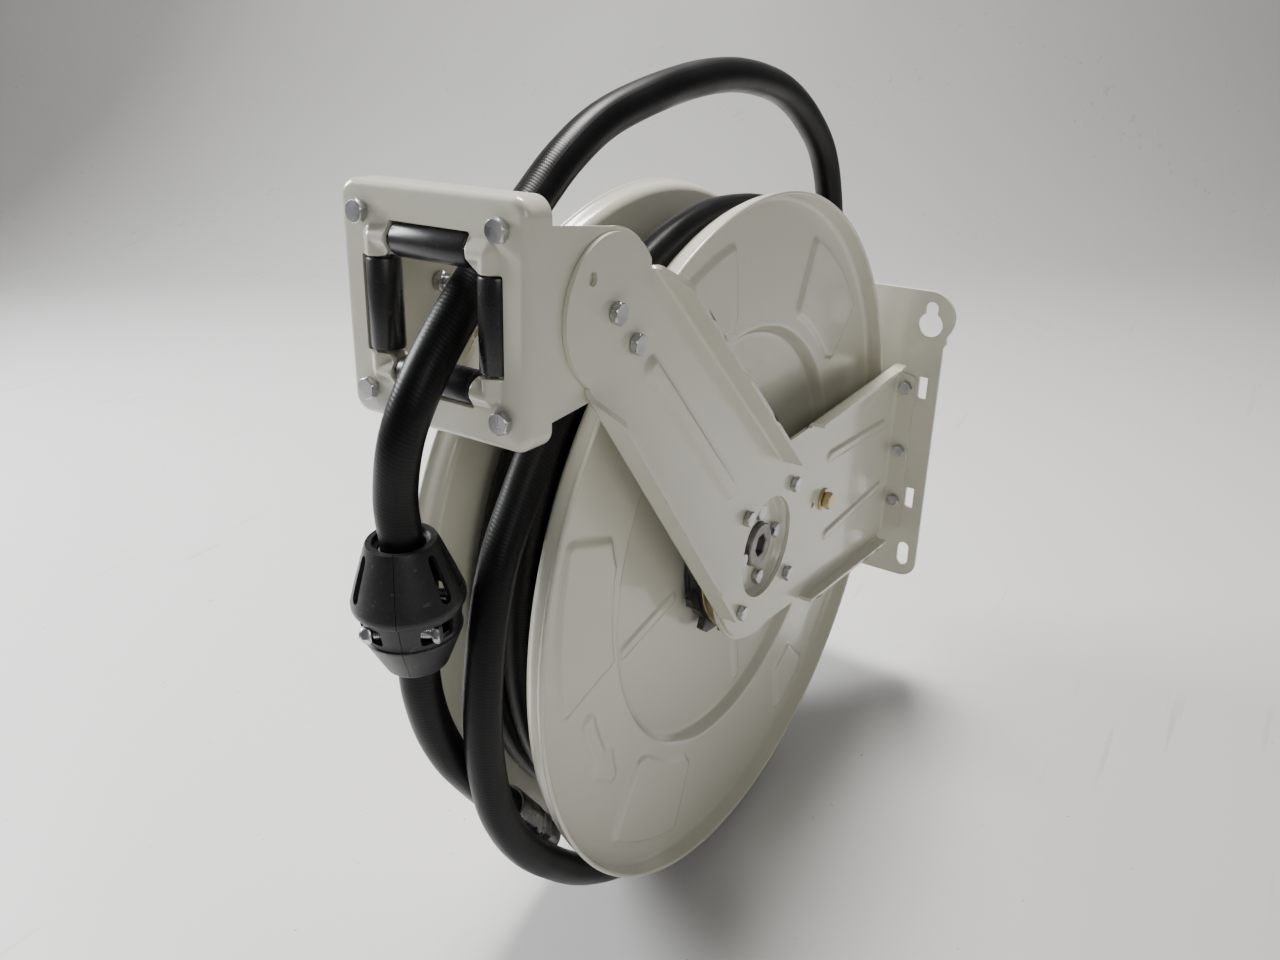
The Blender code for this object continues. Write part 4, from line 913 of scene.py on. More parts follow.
@dataclass
class HexBolt:
    """Hex bolt through a stack of sheet, with its nut and thread end."""

    flats: float = 10 * MM
    head: float = 4.2 * MM
    radius: float = 3 * MM
    nut: float = 4.8 * MM
    tail: float = 3 * MM

    def block(self, low: float, high: float, sides: int = 36) -> tuple[Array, Array]:
        """Hex prism with its corners cut back by a cone at both ends.

        The radius at an angle is the smaller of the hexagon's and the cone's.
        """
        turns = np.linspace(0, TURN, sides, endpoint=False)[:, None]
        deep = high - low
        rows = np.array((0, 0, 0.10, 0.28, 0.72, 0.90, 1, 1)) * deep + low
        cone = np.array((0, 0.94, 1.02, 1.17, 1.17, 1.02, 0.94, 0)) * self.flats / 2
        radii = np.minimum(hex_radius(turns, self.flats), cone)
        return swept_rows(radii, turns, rows), grid_faces(sides, len(rows), True, False)

    def shank(self, low: float, high: float, sides: int = 20) -> tuple[Array, Array]:
        """Thread end: a cylinder whose radius waves with height, 0.9 mm a turn."""
        turns = np.linspace(0, TURN, sides, endpoint=False)[:, None]
        rows = np.linspace(low, high, max(4, int((high - low) / (0.3 * MM))))
        wave = 0.18 * MM * np.sin(TURN * (rows / (0.9 * MM) - turns / TURN))
        radii = self.radius - 0.2 * MM + wave
        radii[:, 0] = 0
        radii[:, -1] = 0
        rows = np.broadcast_to(rows, radii.shape).copy()
        rows[:, 0], rows[:, -1] = rows[:, 1], rows[:, -2]
        return swept_rows(radii, turns, rows), grid_faces(sides, radii.shape[1], True, False)

    def built(self, name: str, place: Matrix, grip: float, nut: bool = True, turn: float = 0.0) -> Object:
        """Build the bolt.

        Args:
            name: the piece's name.
            place: seat of the head, with +Z out of the sheet.
            grip: thickness of the stack.
            nut: whether a nut and a thread end show behind it.
            turn: how far the head is turned, radians.

        Returns:
            The new object.
        """
        parts = [self.block(0.3 * MM, self.head + 0.3 * MM), self.shank(-grip - 0.2 * MM, 1 * MM)]
        if nut:
            parts.append(self.block(-grip - self.nut - 0.3 * MM, -grip - 0.3 * MM))
            parts.append(self.shank(-grip - self.nut - self.tail, -grip - self.nut))
        points, faces, first = [], [], 0
        for block, quads in parts:
            points.append(block)
            faces.append(quads + first)
            first += len(block)
        matrix = place @ Matrix.Rotation(turn, 4, "Z")
        obj = mesh_object(name, placed(np.vstack(points), matrix), faces)
        made_outward(obj)
        return crisp(obj, 30)


# ================================================================ wall plate
@dataclass
class WallPlate:
    """Flat plate with rounded ears, keyholes above and slots below."""

    half: float = 88.5 * MM
    top: float = 132.5 * MM
    thick: float = 3 * MM
    corner: float = 14 * MM
    ear: float = 22 * MM
    overhang: float = 7 * MM
    hole_side: float = 76 * MM

    def outline(self) -> Array:
        """Right half's corner and ear, mirrored."""
        ear_x, ear_z = self.half + self.overhang - self.ear, self.top - self.ear
        drop = np.arccos((self.half - ear_x) / self.ear)
        right = np.vstack((
            arc((self.half - self.corner, -self.top + self.corner), self.corner, -np.pi / 2, np.pi / 2, 9),
            arc((self.half + 6 * MM, ear_z - self.ear * np.sin(drop) - 9 * MM), 6 * MM, np.pi, -0.9, 5),
            arc((ear_x, ear_z), self.ear, -drop * 0.85, drop * 0.85 + np.pi / 2, 24),
        ))
        return np.vstack((right, right[::-1] * (-1, 1)))

    def holes(self) -> list:
        """Keyholes, bottom slots and the four upright slots."""
        key_z = self.top - 27.5 * MM
        neck = np.arccos(0.5)
        keyhole = np.vstack((
            arc((self.hole_side, key_z), 10 * MM, np.pi - neck, np.pi + 2 * neck, 30),
            arc((self.hole_side, key_z + 14 * MM), 5 * MM, 0, np.pi, 14),
        ))
        slot_z = -self.top + 22.5 * MM
        slot_ends = [(self.hole_side, slot_z + shift) for shift in (-6.5 * MM, 6.5 * MM)]
        right = [keyhole, capsule(*slot_ends, 5 * MM)]
        for z in (self.top - 0.31 * 2 * self.top, self.top - 0.70 * 2 * self.top):
            x, w, h = self.hole_side, 3.5 * MM, 9.5 * MM
            corners = [(x - w, z - h), (x + w, z - h), (x + w, z + h), (x - w, z + h)]
            right.append(filleted(corners, [0.6 * MM] * 4, 3))
        return right + [loop[::-1] * (-1, 1) for loop in right]

    def build(self) -> None:
        """Build the plate."""
        def onto(points: Array) -> Array:
            return np.column_stack((points[:, 0], -self.thick - points[:, 2], points[:, 1]))

        sheet = PressedSheet(self.outline(), self.holes(), [], [], lambda flat: np.zeros(len(flat)), 12 * MM)
        put(sheet.built("wall_plate_sheet", onto, self.thick), "bracket", "paint", PAINT, "wall_plate")


# ================================================================ arms
@dataclass
class HubPlate:
    """Sizes of the hub that both kinds of arm share."""

    cup: float = 35 * MM
    cup_depth: float = 5.5 * MM
    bore: float = 16.1 * MM
    outer_circle: float = 49 * MM
    outer_start: float = np.radians(41)
    inner_circle: float = 25 * MM
    hole: float = BOLT_HOLE

    def outer(self) -> list:
        """Angles of the outer bolts."""
        return [self.outer_start + k * np.pi / 2 for k in range(4)]

    def inner(self) -> list:
        """Angles of the inner bolts."""
        return [k * np.pi / 2 for k in range(4)]


HUB_PLATE = HubPlate()
PAWL_PIVOT = (99.8 * MM, -8.4 * MM)
SUPPORT_PLANE = 54 * MM
GUIDE_PLANE = 56.8 * MM
ARM_SHEET = 2.5 * MM


def on_circle(radius: float, angle: float) -> tuple:
    """Point of a circle about the hub."""
    return (radius * np.cos(angle), radius * np.sin(angle))


@dataclass
class SupportArm:
    """Arm from the wall plate to the hub: ribs, a pressed cup and three flanges."""

    side: Side
    plane: float = SUPPORT_PLANE
    rear: float = 243.2 * MM
    round: float = 66 * MM
    start: float = 69 * MM
    bend: float = 2.2 * MM
    flange: float = 10 * MM
    wall_flange: float = 16 * MM
    rib_lines: tuple = (
        ((106.7 * MM, 24.8 * MM), (217.6 * MM, 10.4 * MM)),
        ((109.8 * MM, -43.6 * MM), (222 * MM, -49.7 * MM)),
    )
    rib_half: float = 4.6 * MM
    rib_rise: float = 2.0 * MM
    wall_bolts: tuple = (37 * MM, -21 * MM, -69 * MM)

    def edge(self, top: bool, y: float) -> float:
        """Height of the arm's top or bottom edge at a distance behind the hub."""
        near, far = (66 * MM, 56 * MM) if top else (-66 * MM, -109 * MM)
        return near + (far - near) * y / self.rear

    def blank(self) -> tuple[Array, list]:
        """Outline of the flat blank and its folds, in (y, z) from the hub."""
        stop, rear = self.rear - 7 * MM, self.rear - self.bend
        past = self.bend * np.pi / 2 + self.flange - self.bend
        wall_past = self.bend * np.pi / 2 + self.wall_flange - self.bend
        s, b = self.start, self.bend
        low_a, low_b = self.edge(False, s) + b, self.edge(False, stop) + b
        top_a, top_b = self.edge(True, s) - b, self.edge(True, stop) - b
        low_fold = Fold((s, low_a), (stop, low_b), b)
        top_fold = Fold((stop, top_b), (s, top_a), b)
        wall_fold = Fold((rear, low_b + 4 * MM), (rear, top_b - 4 * MM), b)
        low, top = low_fold.outward * past, top_fold.outward * past
        corners = [
            (s - 4 * MM, self.edge(False, s)), (s, low_a), tuple(np.array((s, low_a)) + low),
            tuple(np.array((stop, low_b)) + low), (stop, low_b), (rear, low_b + 4 * MM),
            (rear + wall_past, low_b + 7 * MM), (rear + wall_past, top_b - 7 * MM), (rear, top_b - 4 * MM),
            (stop, top_b), tuple(np.array((stop, top_b)) + top), tuple(np.array((s, top_a)) + top),
            (s, top_a), (s - 4 * MM, self.edge(True, s)),
        ]
        radii = [0, 0, 0.8 * MM, 3 * MM, 0, 0, 4 * MM, 4 * MM, 0, 0, 3 * MM, 0.8 * MM, 0, 0]
        nose = arc((0, 0), self.round, np.pi / 2, np.pi, 40)
        return np.vstack((nose, filleted(corners, radii, 4, closed=False))), [low_fold, top_fold, wall_fold]

    def height(self, flat: Array) -> Array:
        """Cup sunk round the hub, ribs raised: smooth steps of distance."""
        reach = np.linalg.norm(flat, axis=1)
        out = -HUB_PLATE.cup_depth * (1 - ramp(reach, HUB_PLATE.cup - 2.6 * MM, HUB_PLATE.cup + 0.6 * MM))
        for line in self.rib_lines:
            away = distance_to(flat, np.array(line))
            out += self.rib_rise * (1 - ramp(away, self.rib_half - 2.4 * MM, self.rib_half + 0.6 * MM))
        return out

    def build(self) -> None:
        """Build the arm, with its holes, and its wall bolts."""
        outline, folds = self.blank()
        holes = [ring((0, 0), HUB_PLATE.bore, 40), ring(PAWL_PIVOT, 4.6 * MM, 20)]
        holes += [ring(on_circle(HUB_PLATE.outer_circle, a), HUB_PLATE.hole, 16) for a in HUB_PLATE.outer()]
        holes += [ring(on_circle(HUB_PLATE.inner_circle, a), HUB_PLATE.hole, 16) for a in HUB_PLATE.inner()]
        holes.append(ring((81 * MM, -5 * MM), 2.4 * MM, 14))
        details = [Detail(np.array(line), self.rib_half + 2 * MM, 1.1 * MM) for line in self.rib_lines]
        details.append(Detail(ring((0, 0), HUB_PLATE.cup - 1 * MM, 48), 3 * MM, 0.9 * MM, closed=True))

        def onto(points: Array) -> Array:
            return HUB + np.column_stack((self.plane + points[:, 2], points[:, 0], points[:, 1]))

        sheet = PressedSheet(outline, holes, folds, details, self.height, 7 * MM)
        name = "support_arm_sheet_" + self.side.word
        obj = sheet.built(name, onto, ARM_SHEET, mirrored=self.side is Side.LEFT)
        put(obj, "bracket", "paint", PAINT, "support_arm_" + self.side.word)
        for k, z in enumerate(self.wall_bolts):
            seat = HUB + np.array((self.side.value * 63 * MM, self.rear - 0.1 * MM, z))
            bolt = HexBolt().built(f"wall_bolt_{self.side.word}_{k + 1}", along(seat, (0, -1, 0)),
                                   ARM_SHEET + 3 * MM, nut=False, turn=0.4 * k)
            put(bolt, "bracket", "zinc", ZINC)


@dataclass
class GuideArm:
    """Arm from the hub to the roller guide: one long rib and two flanges."""

    side: Side
    plane: float = GUIDE_PLANE
    angle: float = np.radians(129.7)
    length: float = 269.6 * MM
    head: float = 36 * MM
    tail: float = 64 * MM
    bend: float = 2.2 * MM
    flange: float = 14 * MM
    pitch: float = 24.6 * MM
    rib_line: tuple = ((88 * MM, 0.0), (223 * MM, 0.0))
    rib_half: float = 6.2 * MM
    rib_rise: float = 3.0 * MM

    def blank(self) -> tuple[Array, list]:
        """Outline and folds, in distance along the arm and down from its axis."""
        b = self.bend
        past = b * np.pi / 2 + self.flange - b
        first, last = 30 * MM, 260 * MM
        taper_run = 225 * MM

        def upper(s: float) -> float:
            return -(51 * MM - b) + 16 * MM * (s - first) / taper_run

        def lower(s: float) -> float:
            return (61 * MM - b) - 23 * MM * (s - first) / taper_run

        up = Fold((first, upper(first)), (last, upper(last)), b)
        down = Fold((last, lower(last)), (first, lower(first)), b)
        rise, drop = up.outward * past, down.outward * past
        cut = 17 * MM
        corners = [
            (first, upper(first)), tuple(np.array((first, upper(first))) + rise),
            tuple(np.array((last - cut, upper(last - cut))) + rise), (last, upper(last)),
        ]
        head = arc((self.length, 0), self.head, -np.radians(99), np.radians(198), 44)
        below = [
            (last, lower(last)), tuple(np.array((last - cut, lower(last - cut))) + drop),
            tuple(np.array((first, lower(first))) + drop), (first, lower(first)),
        ]
        tail = arc((0, 0), self.tail, np.radians(66), np.radians(228), 44)
        return np.vstack((corners, head, below, tail)), [up, down]

    def point(self, s: float, h: float = 0.0) -> tuple:
        """(y, z) from the hub of a point along the arm and above its axis."""
        c, n = np.cos(self.angle), np.sin(self.angle)
        return (s * c + h * n, s * n - h * c)

    def height(self, flat: Array) -> Array:
        """One raised rib along the axis."""
        away = distance_to(flat, np.array(self.rib_line))
        return self.rib_rise * (1 - ramp(away, self.rib_half - 3.4 * MM, self.rib_half + 0.6 * MM))

    def build(self) -> None:
        """Build the arm's sheet, flanged outwards."""
        outline, folds = self.blank()
        holes = [ring((0, 0), HUB_PLATE.cup + 0.6 * MM, 64)]
        for a in HUB_PLATE.outer():
            holes.append(ring(on_circle(HUB_PLATE.outer_circle, a - self.angle), HUB_PLATE.hole, 16))
        holes += [ring((self.length + k * self.pitch, 0), HUB_PLATE.hole, 16) for k in (-1, 0, 1)]
        details = [Detail(np.array(self.rib_line), self.rib_half + 2 * MM, 1.2 * MM)]
        c, n = np.cos(self.angle), np.sin(self.angle)

        def onto(points: Array) -> Array:
            p, q, h = points.T
            return HUB + np.column_stack((self.plane + h, p * c - q * n, p * n + q * c))

        sheet = PressedSheet(outline, holes, folds, details, self.height, 7 * MM)
        name = "guide_arm_sheet_" + self.side.word
        obj = sheet.built(name, onto, ARM_SHEET, mirrored=self.side is Side.LEFT)
        put(obj, "bracket", "paint", PAINT, "guide_arm_" + self.side.word)


def hub_bolts(side: Side) -> None:
    """Eight bolts on one side of the hub: four through the arms, four in the cup."""
    x = side.value
    right = side is Side.RIGHT
    for k, angle in enumerate(HUB_PLATE.outer()):
        y, z = on_circle(HUB_PLATE.outer_circle, angle)
        seat = HUB + np.array((x * GUIDE_PLANE, y, z))
        obj = HexBolt().built(f"outer_hub_bolt_{side.word}_{k + 1}", along(seat, (x, 0, 0)),
                              5.3 * MM, turn=k * 0.7)
        put(obj, "bracket", "zinc", ZINC, *([f"hub_bolt_outer_{k + 1}"] if right else []))
    for k, angle in enumerate(HUB_PLATE.inner()):
        y, z = on_circle(HUB_PLATE.inner_circle, angle)
        seat = HUB + np.array((x * (SUPPORT_PLANE - HUB_PLATE.cup_depth), y, z))
        obj = HexBolt().built(f"inner_hub_bolt_{side.word}_{k + 1}", along(seat, (x, 0, 0)), 5.8 * MM,
                              nut=False, turn=0.35 + k * 0.5)
        put(obj, "bracket", "zinc", ZINC, *([f"hub_bolt_inner_{k + 1}"] if right else []))


def ear_bolts(arm: GuideArm) -> None:
    """Two bolts that join one guide arm to the roller guide's ear."""
    for label, step in (("upper", 0), ("lower", -1)):
        y, z = arm.point(arm.length + step * arm.pitch)
        seat = HUB + np.array((arm.side.value * GUIDE_PLANE, y, z))
        name = f"ear_bolt_{arm.side.word}_{label}"
        obj = HexBolt().built(name + "_turned", along(seat, (arm.side.value, 0, 0)), 5 * MM, turn=0.5 + step)
        put(obj, "bracket", "zinc", ZINC, name)


# ================================================================ roller guide
@dataclass
class RollerGuide:
    """Pressed front box with two ears, four rollers on pins and a clamping plate."""

    half: float = 54 * MM
    reach: float = 58.5 * MM
    depth: float = 16 * MM
    corner: float = 9 * MM
    bend: float = 4 * MM
    sheet: float = 2 * MM
    tilt: float = np.radians(5.1)
    ear: float = 38 * MM
    bolt: float = 40.3 * MM
    row: float = 30 * MM
    column: float = 33 * MM
    roller: float = 8 * MM
    pin: float = 3 * MM
    pin_plane: float = 53.2 * MM
    retainer_front: float = 49.9 * MM

    def place(self) -> Matrix:
        """Frame at the head bolts, +Y to the rear, tipped by the tilt."""
        y, z = GuideArm(Side.RIGHT).point(269.6 * MM)
        return Matrix.Translation(Vector(HUB + np.array((0, y, z)))) @ Matrix.Rotation(-self.tilt, 4, "X")

    def window(self, margin: float = 0.0) -> Array:
        """Opening with a slot for each roller, corners rounded."""
        level, upright = 23.5 * MM + margin, 22 * MM + margin
        top, side = 38 * MM + margin, 41 * MM + margin
        quarter = [(side, upright), (level, upright), (level, top)]
        upper = quarter + [(-x, z) for x, z in reversed(quarter)]
        corners = upper + [(x, -z) for x, z in reversed(upper)]
        return filleted(corners, [1.2 * MM, 5.5 * MM, 1.2 * MM] * 4, 4)

    def dome_lines(self) -> list:
        """Bent centreline of each of the four raised humps over the pin ends."""
        path = np.array(((22.5, 30), (33, 30), (33, 21))) * MM
        return [path * signs for signs in ((1, 1), (-1, 1), (-1, -1), (1, -1))]

    def face_height(self, flat: Array) -> Array:
        """Humps: half round across their lines; the corners pressed slightly proud."""
        out = np.zeros(len(flat))
        for line in self.dome_lines():
            away = np.clip(distance_to(flat, line) / (6 * MM), 0, 1)
            out = np.maximum(out, 3.6 * MM * (1 - away ** 2) ** 1.5)
        return out

    def square(self, inset: float, height: float) -> Array:
        """Closed rounded square at an inset, as (x, z, height), 13 points a corner."""
        half, corner = self.half - inset, max(self.corner - inset, 1 * MM)
        loops = [arc((sx * (half - corner), sz * (half - corner)), corner, k * np.pi / 2, np.pi / 2, 13)
                 for k, (sx, sz) in enumerate(((1, 1), (-1, 1), (-1, -1), (1, -1)))]
        loop = np.vstack(loops)
        return np.column_stack((loop, np.full(len(loop), height)))

    def onto(self, points: Array) -> Array:
        """(x, z, height ahead of the front face) to the row frame."""
        local = np.column_stack((points[:, 0], -self.reach - points[:, 2], points[:, 1]))
        return placed(local, self.place())

    def front_face(self) -> Object:
        """Front with its window, humps and rounded edge, down to the skirt's rear."""
        outline = self.square(self.bend, 0)[:, :2]
        holes = [self.window()]
        for sx, sz in ((1, 1), (1, -1), (-1, 1), (-1, -1)):
            holes.append(ring((sx * self.bolt, sz * self.bolt), BOLT_HOLE, 16))
        details = [Detail(line, 7 * MM, 0.8 * MM) for line in self.dome_lines()]
        flat, faces = triangulated(outline, holes, [], details, 5 * MM)
        points = np.column_stack((flat, self.face_height(flat)))
        edge_loop = resampled(outline, 5 * MM)
        turns = np.linspace(0, np.pi / 2, 7)
        rows = [(self.bend * (1 - np.sin(t)), -self.bend * (1 - np.cos(t))) for t in turns]
        rows += [(0.0, -drop) for drop in np.linspace(self.bend + 2 * MM, self.depth, 5)]
        centre_out = self.skirt_normals(edge_loop)
        skirt = [np.column_stack((edge_loop + centre_out * (self.bend - inset), np.full(len(edge_loop), h)))
                 for inset, h in rows]
        skirt = np.vstack(skirt)
        quads = grid_faces(len(rows), len(edge_loop), False, True) + len(points)
        obj = mesh_object("guide_box_pressing", self.onto(np.vstack((points, skirt))),
                          [faces, quads], sharp=70)
        self.join_ears(obj)
        made_outward_like(obj, placed(np.array(((0.0, -1.0, 0.0),)), self.place().to_3x3().to_4x4())[0])
        return add_thickness(obj, self.sheet)

    def skirt_normals(self, loop: Array) -> Array:
        """Unit directions out of the rounded square at each point of a loop on it."""
        core = self.half - self.corner
        off = loop - np.clip(loop, -core, core)
        length = np.linalg.norm(off, axis=1)[:, None]
        return off / np.maximum(length, 1e-9)

    def join_ears(self, obj: Object) -> None:
        """Add the ears: flat D-shaped plates behind the skirt on both sides."""
        points, faces = [], []
        stop = self.half - self.corner - 3 * MM
        back = self.depth - self.reach
        nose = arc((0, 0), self.ear, -np.pi / 2, np.pi, 40)
        outline = np.vstack((((back, -stop),), nose, ((back, stop),)))
        arm = GuideArm(Side.RIGHT)
        away = np.array(arm.point(arm.length - arm.pitch)) - np.array(arm.point(arm.length))
        c, s = np.cos(self.tilt), np.sin(self.tilt)
        second = (away[0] * c - away[1] * s, away[0] * s + away[1] * c)
        holes = [ring((0, 0), BOLT_HOLE, 16), ring(second, BOLT_HOLE, 16)]
        flat, tris = triangulated(outline, holes, [], [], 6 * MM)
        first = len(obj.data.vertices)
        for side in (1, -1):
            local = np.column_stack((np.full(len(flat), side * self.half), flat))
            points.append(placed(local, self.place()))
            faces.append((tris if side > 0 else tris[:, ::-1]) + first)
            first += len(flat)
        bm = bmesh.new()
        bm.from_mesh(obj.data)
        for point in np.vstack(points).tolist():
            bm.verts.new(point)
        bm.verts.ensure_lookup_table()
        for row in np.vstack(faces).tolist():
            bm.faces.new([bm.verts[k] for k in row])
        edge = [v for v in bm.verts if v.is_boundary]
        bmesh.ops.remove_doubles(bm, verts=edge, dist=0.15 * MM)
        bm.to_mesh(obj.data)
        bm.free()

    def build(self) -> None:
        """Build the box, clamping plate, rollers, pins and bolts."""
        put(self.front_face(), "bracket", "paint", PAINT, "guide_box")
        self.build_retainer()
        for name, centre, axis, pin, half in (
            ("top", (0, self.row), (1, 0, 0), 37 * MM, 22 * MM),
            ("bottom", (0, -self.row), (1, 0, 0), 37 * MM, 22 * MM),
            ("left", (-self.column, 0), (0, 0, 1), 26.4 * MM, 21 * MM),
            ("right", (self.column, 0), (0, 0, 1), 26.4 * MM, 21 * MM),
        ):
            self.build_roller(name, centre, axis, pin, half)
        words = {(-1, 1): "top_left", (1, 1): "top_right", (-1, -1): "bottom_left", (1, -1): "bottom_right"}
        for (sx, sz), word in words.items():
            seat = placed(np.array(((sx * self.bolt, -self.reach, sz * self.bolt),)), self.place())[0]
            out = self.place().to_3x3() @ Vector((0, -1, 0))
            bolt = HexBolt().built(f"guide_bolt_{word}_turned", along(seat, tuple(out)),
                                   self.reach - 48.2 * MM, turn=0.3 + sx + sz)
            put(bolt, "bracket", "zinc", ZINC, "guide_bolt_" + word)

    def build_retainer(self) -> None:
        """Flat plate behind the pins, with the same window."""
        half = self.half - 7 * MM
        corners = [(half, -half), (half, half), (-half, half), (-half, -half)]
        holes = [self.window(0.5 * MM)]
        holes += [ring((sx * self.bolt, sz * self.bolt), BOLT_HOLE, 16) for sx in (-1, 1) for sz in (-1, 1)]

        def onto(points: Array) -> Array:
            local = np.column_stack((points[:, 0], -self.retainer_front - points[:, 2], points[:, 1]))
            return placed(local, self.place())

        outline = filleted(corners, [7 * MM] * 4, 6)
        sheet = PressedSheet(outline, holes, [], [], lambda flat: np.zeros(len(flat)), 8 * MM)
        put(sheet.built("clamping_plate", onto, 1.7 * MM), "bracket", "paint", PAINT, "roller_retainer")

    def build_roller(self, name: str, centre: tuple, axis: tuple, pin: float, half: float) -> None:
        """One nylon roller with eased ends and a recess, and its steel pin."""
        r = self.roller
        profile = np.array((
            (3.3 * MM, -half + 1.2 * MM), (4.6 * MM, -half + 1.2 * MM), (5 * MM, -half),
            (r - 1.4 * MM, -half),
            (r - 0.4 * MM, -half + 0.4 * MM), (r, -half + 1.4 * MM), (r, half - 1.4 * MM),
            (r - 0.4 * MM, half - 0.4 * MM), (r - 1.4 * MM, half), (5 * MM, half),
            (4.6 * MM, half - 1.2 * MM), (3.3 * MM, half - 1.2 * MM),
        ))
        middle = placed(np.array(((centre[0], -self.pin_plane, centre[1]),)), self.place())[0]
        place = along(middle, tuple(self.place().to_3x3() @ Vector(axis)))
        roller = turned("nylon_roller_" + name, profile, place, 40)
        put(roller, "guide_roller_" + name, "nylon", NYLON, "roller_" + name)
        p = self.pin
        ends = np.array(((0, -pin), (p - 0.5 * MM, -pin), (p, -pin + 0.5 * MM), (p, pin - 0.5 * MM),
                         (p - 0.5 * MM, pin), (0, pin)))
        put(turned("steel_pin_" + name, ends, place, 28), "bracket", "zinc", ZINC, "roller_pin_" + name)


def made_outward_like(obj: Object, front: Array) -> None:
    """Point an open sheet's faces the way its front face should look."""
    bm = bmesh.new()
    bm.from_mesh(obj.data)
    bmesh.ops.recalc_face_normals(bm, faces=bm.faces)
    toward = Vector(front)
    score = sum(f.normal.dot(toward) * f.calc_area() for f in bm.faces)
    if score < 0:
        bmesh.ops.reverse_faces(bm, faces=bm.faces)
    bm.to_mesh(obj.data)
    bm.free()
    crisp(obj, 60)


@dataclass
class ThreadedEnd:
    """Hexagon, neck, helical thread and bore, turned from one bar."""

    rows: tuple
    neck_start: float
    tip: float
    flats: float = 22 * MM
    thread: float = 10.4 * MM
    bore: float = 6 * MM
    pitch: float = 1.8 * MM

    def built(self, name: str, place: Matrix) -> Object:
        """Build the piece along local Z.

        The thread's radius dips by a cosine of height over pitch less the turn.
        """
        sides = 72
        turns = np.linspace(0, TURN, sides, endpoint=False)[:, None]
        neck = ((9.2 * MM, self.neck_start), (9.2 * MM, self.neck_start + 2 * MM))
        base = np.vstack((np.array(self.rows) * MM, neck))
        heights = np.arange(self.neck_start + 2.3 * MM, self.tip - 0.3 * MM, self.pitch / 8)
        threaded = np.column_stack((np.full(len(heights), self.thread), heights))
        bore, tip = self.bore, self.tip
        end = np.array(((8.6 * MM, tip), (bore + 0.2 * MM, tip), (bore, tip - 0.7 * MM),
                        (bore, tip - 12 * MM), (0.0, tip - 12 * MM)))
        profile = np.vstack((base, threaded, end))
        high = profile[:, 1]
        radii = np.broadcast_to(profile[:, 0], (sides, len(profile))).copy()
        is_hex = (high > self.rows[2][1] * MM) & (high < self.neck_start) & (profile[:, 0] > 10 * MM)
        radii = np.where(is_hex, np.minimum(radii, hex_radius(turns, self.flats)), radii)
        is_thread = np.zeros(len(profile), bool)
        is_thread[len(base):len(base) + len(threaded)] = True
        wave = 0.5 * MM * (1 + np.cos(TURN * high[None, :] / self.pitch - turns))
        start = self.neck_start + 2 * MM
        fade = ramp(high, start, start + 1.8 * MM) * (1 - 0.6 * ramp(high, self.tip - 2 * MM, self.tip))
        radii = np.where(is_thread, radii - wave * fade, radii)
        faces = grid_faces(sides, len(profile), True, False)
        obj = mesh_object(name, placed(swept_rows(radii, turns, high), place), [faces])
        made_outward(obj)
        return crisp(obj, 34)


# ================================================================ hose
LOOSE_TURN = (
    (20, 60, 209), (20, 20, 217), (20, -30, 220), (21, -85, 210), (22, -135, 187), (22, -180, 149),
    (22, -207, 118), (22, -226, 90), (22, -239, 54), (22, -246, 18), (22, -248, -18), (22, -243, -55),
    (22, -228, -92), (22, -205, -126), (22, -172, -163), (21, -122, -200), (20, -62, -222), (18, 0, -230),
    (15, 62, -220), (12, 118, -193), (9, 165, -153), (6, 198, -104), (3, 217, -45), (1, 222, 12),
    (0, 219, 70), (0, 214, 125), (0, 203, 182), (0, 184, 226), (0, 151, 256), (0, 109, 278),
    (0, 58, 290), (0, 8, 293), (0, -45, 289), (0, -96, 280), (2, -134, 266), (5, -166, 249),
    (8, -199, 231), (10, -228, 211), (10, -250, 190), (6, -262, 166), (0, -264, 138), (0, -264, 118),
)
HANGING_END = (
    (0, -264, 48), (0, -264, 30), (0, -260, 6), (0, -252, -18),
    (0, -241, -40), (0, -226, -66), (0, -211, -91), (0, -197, -114),
)


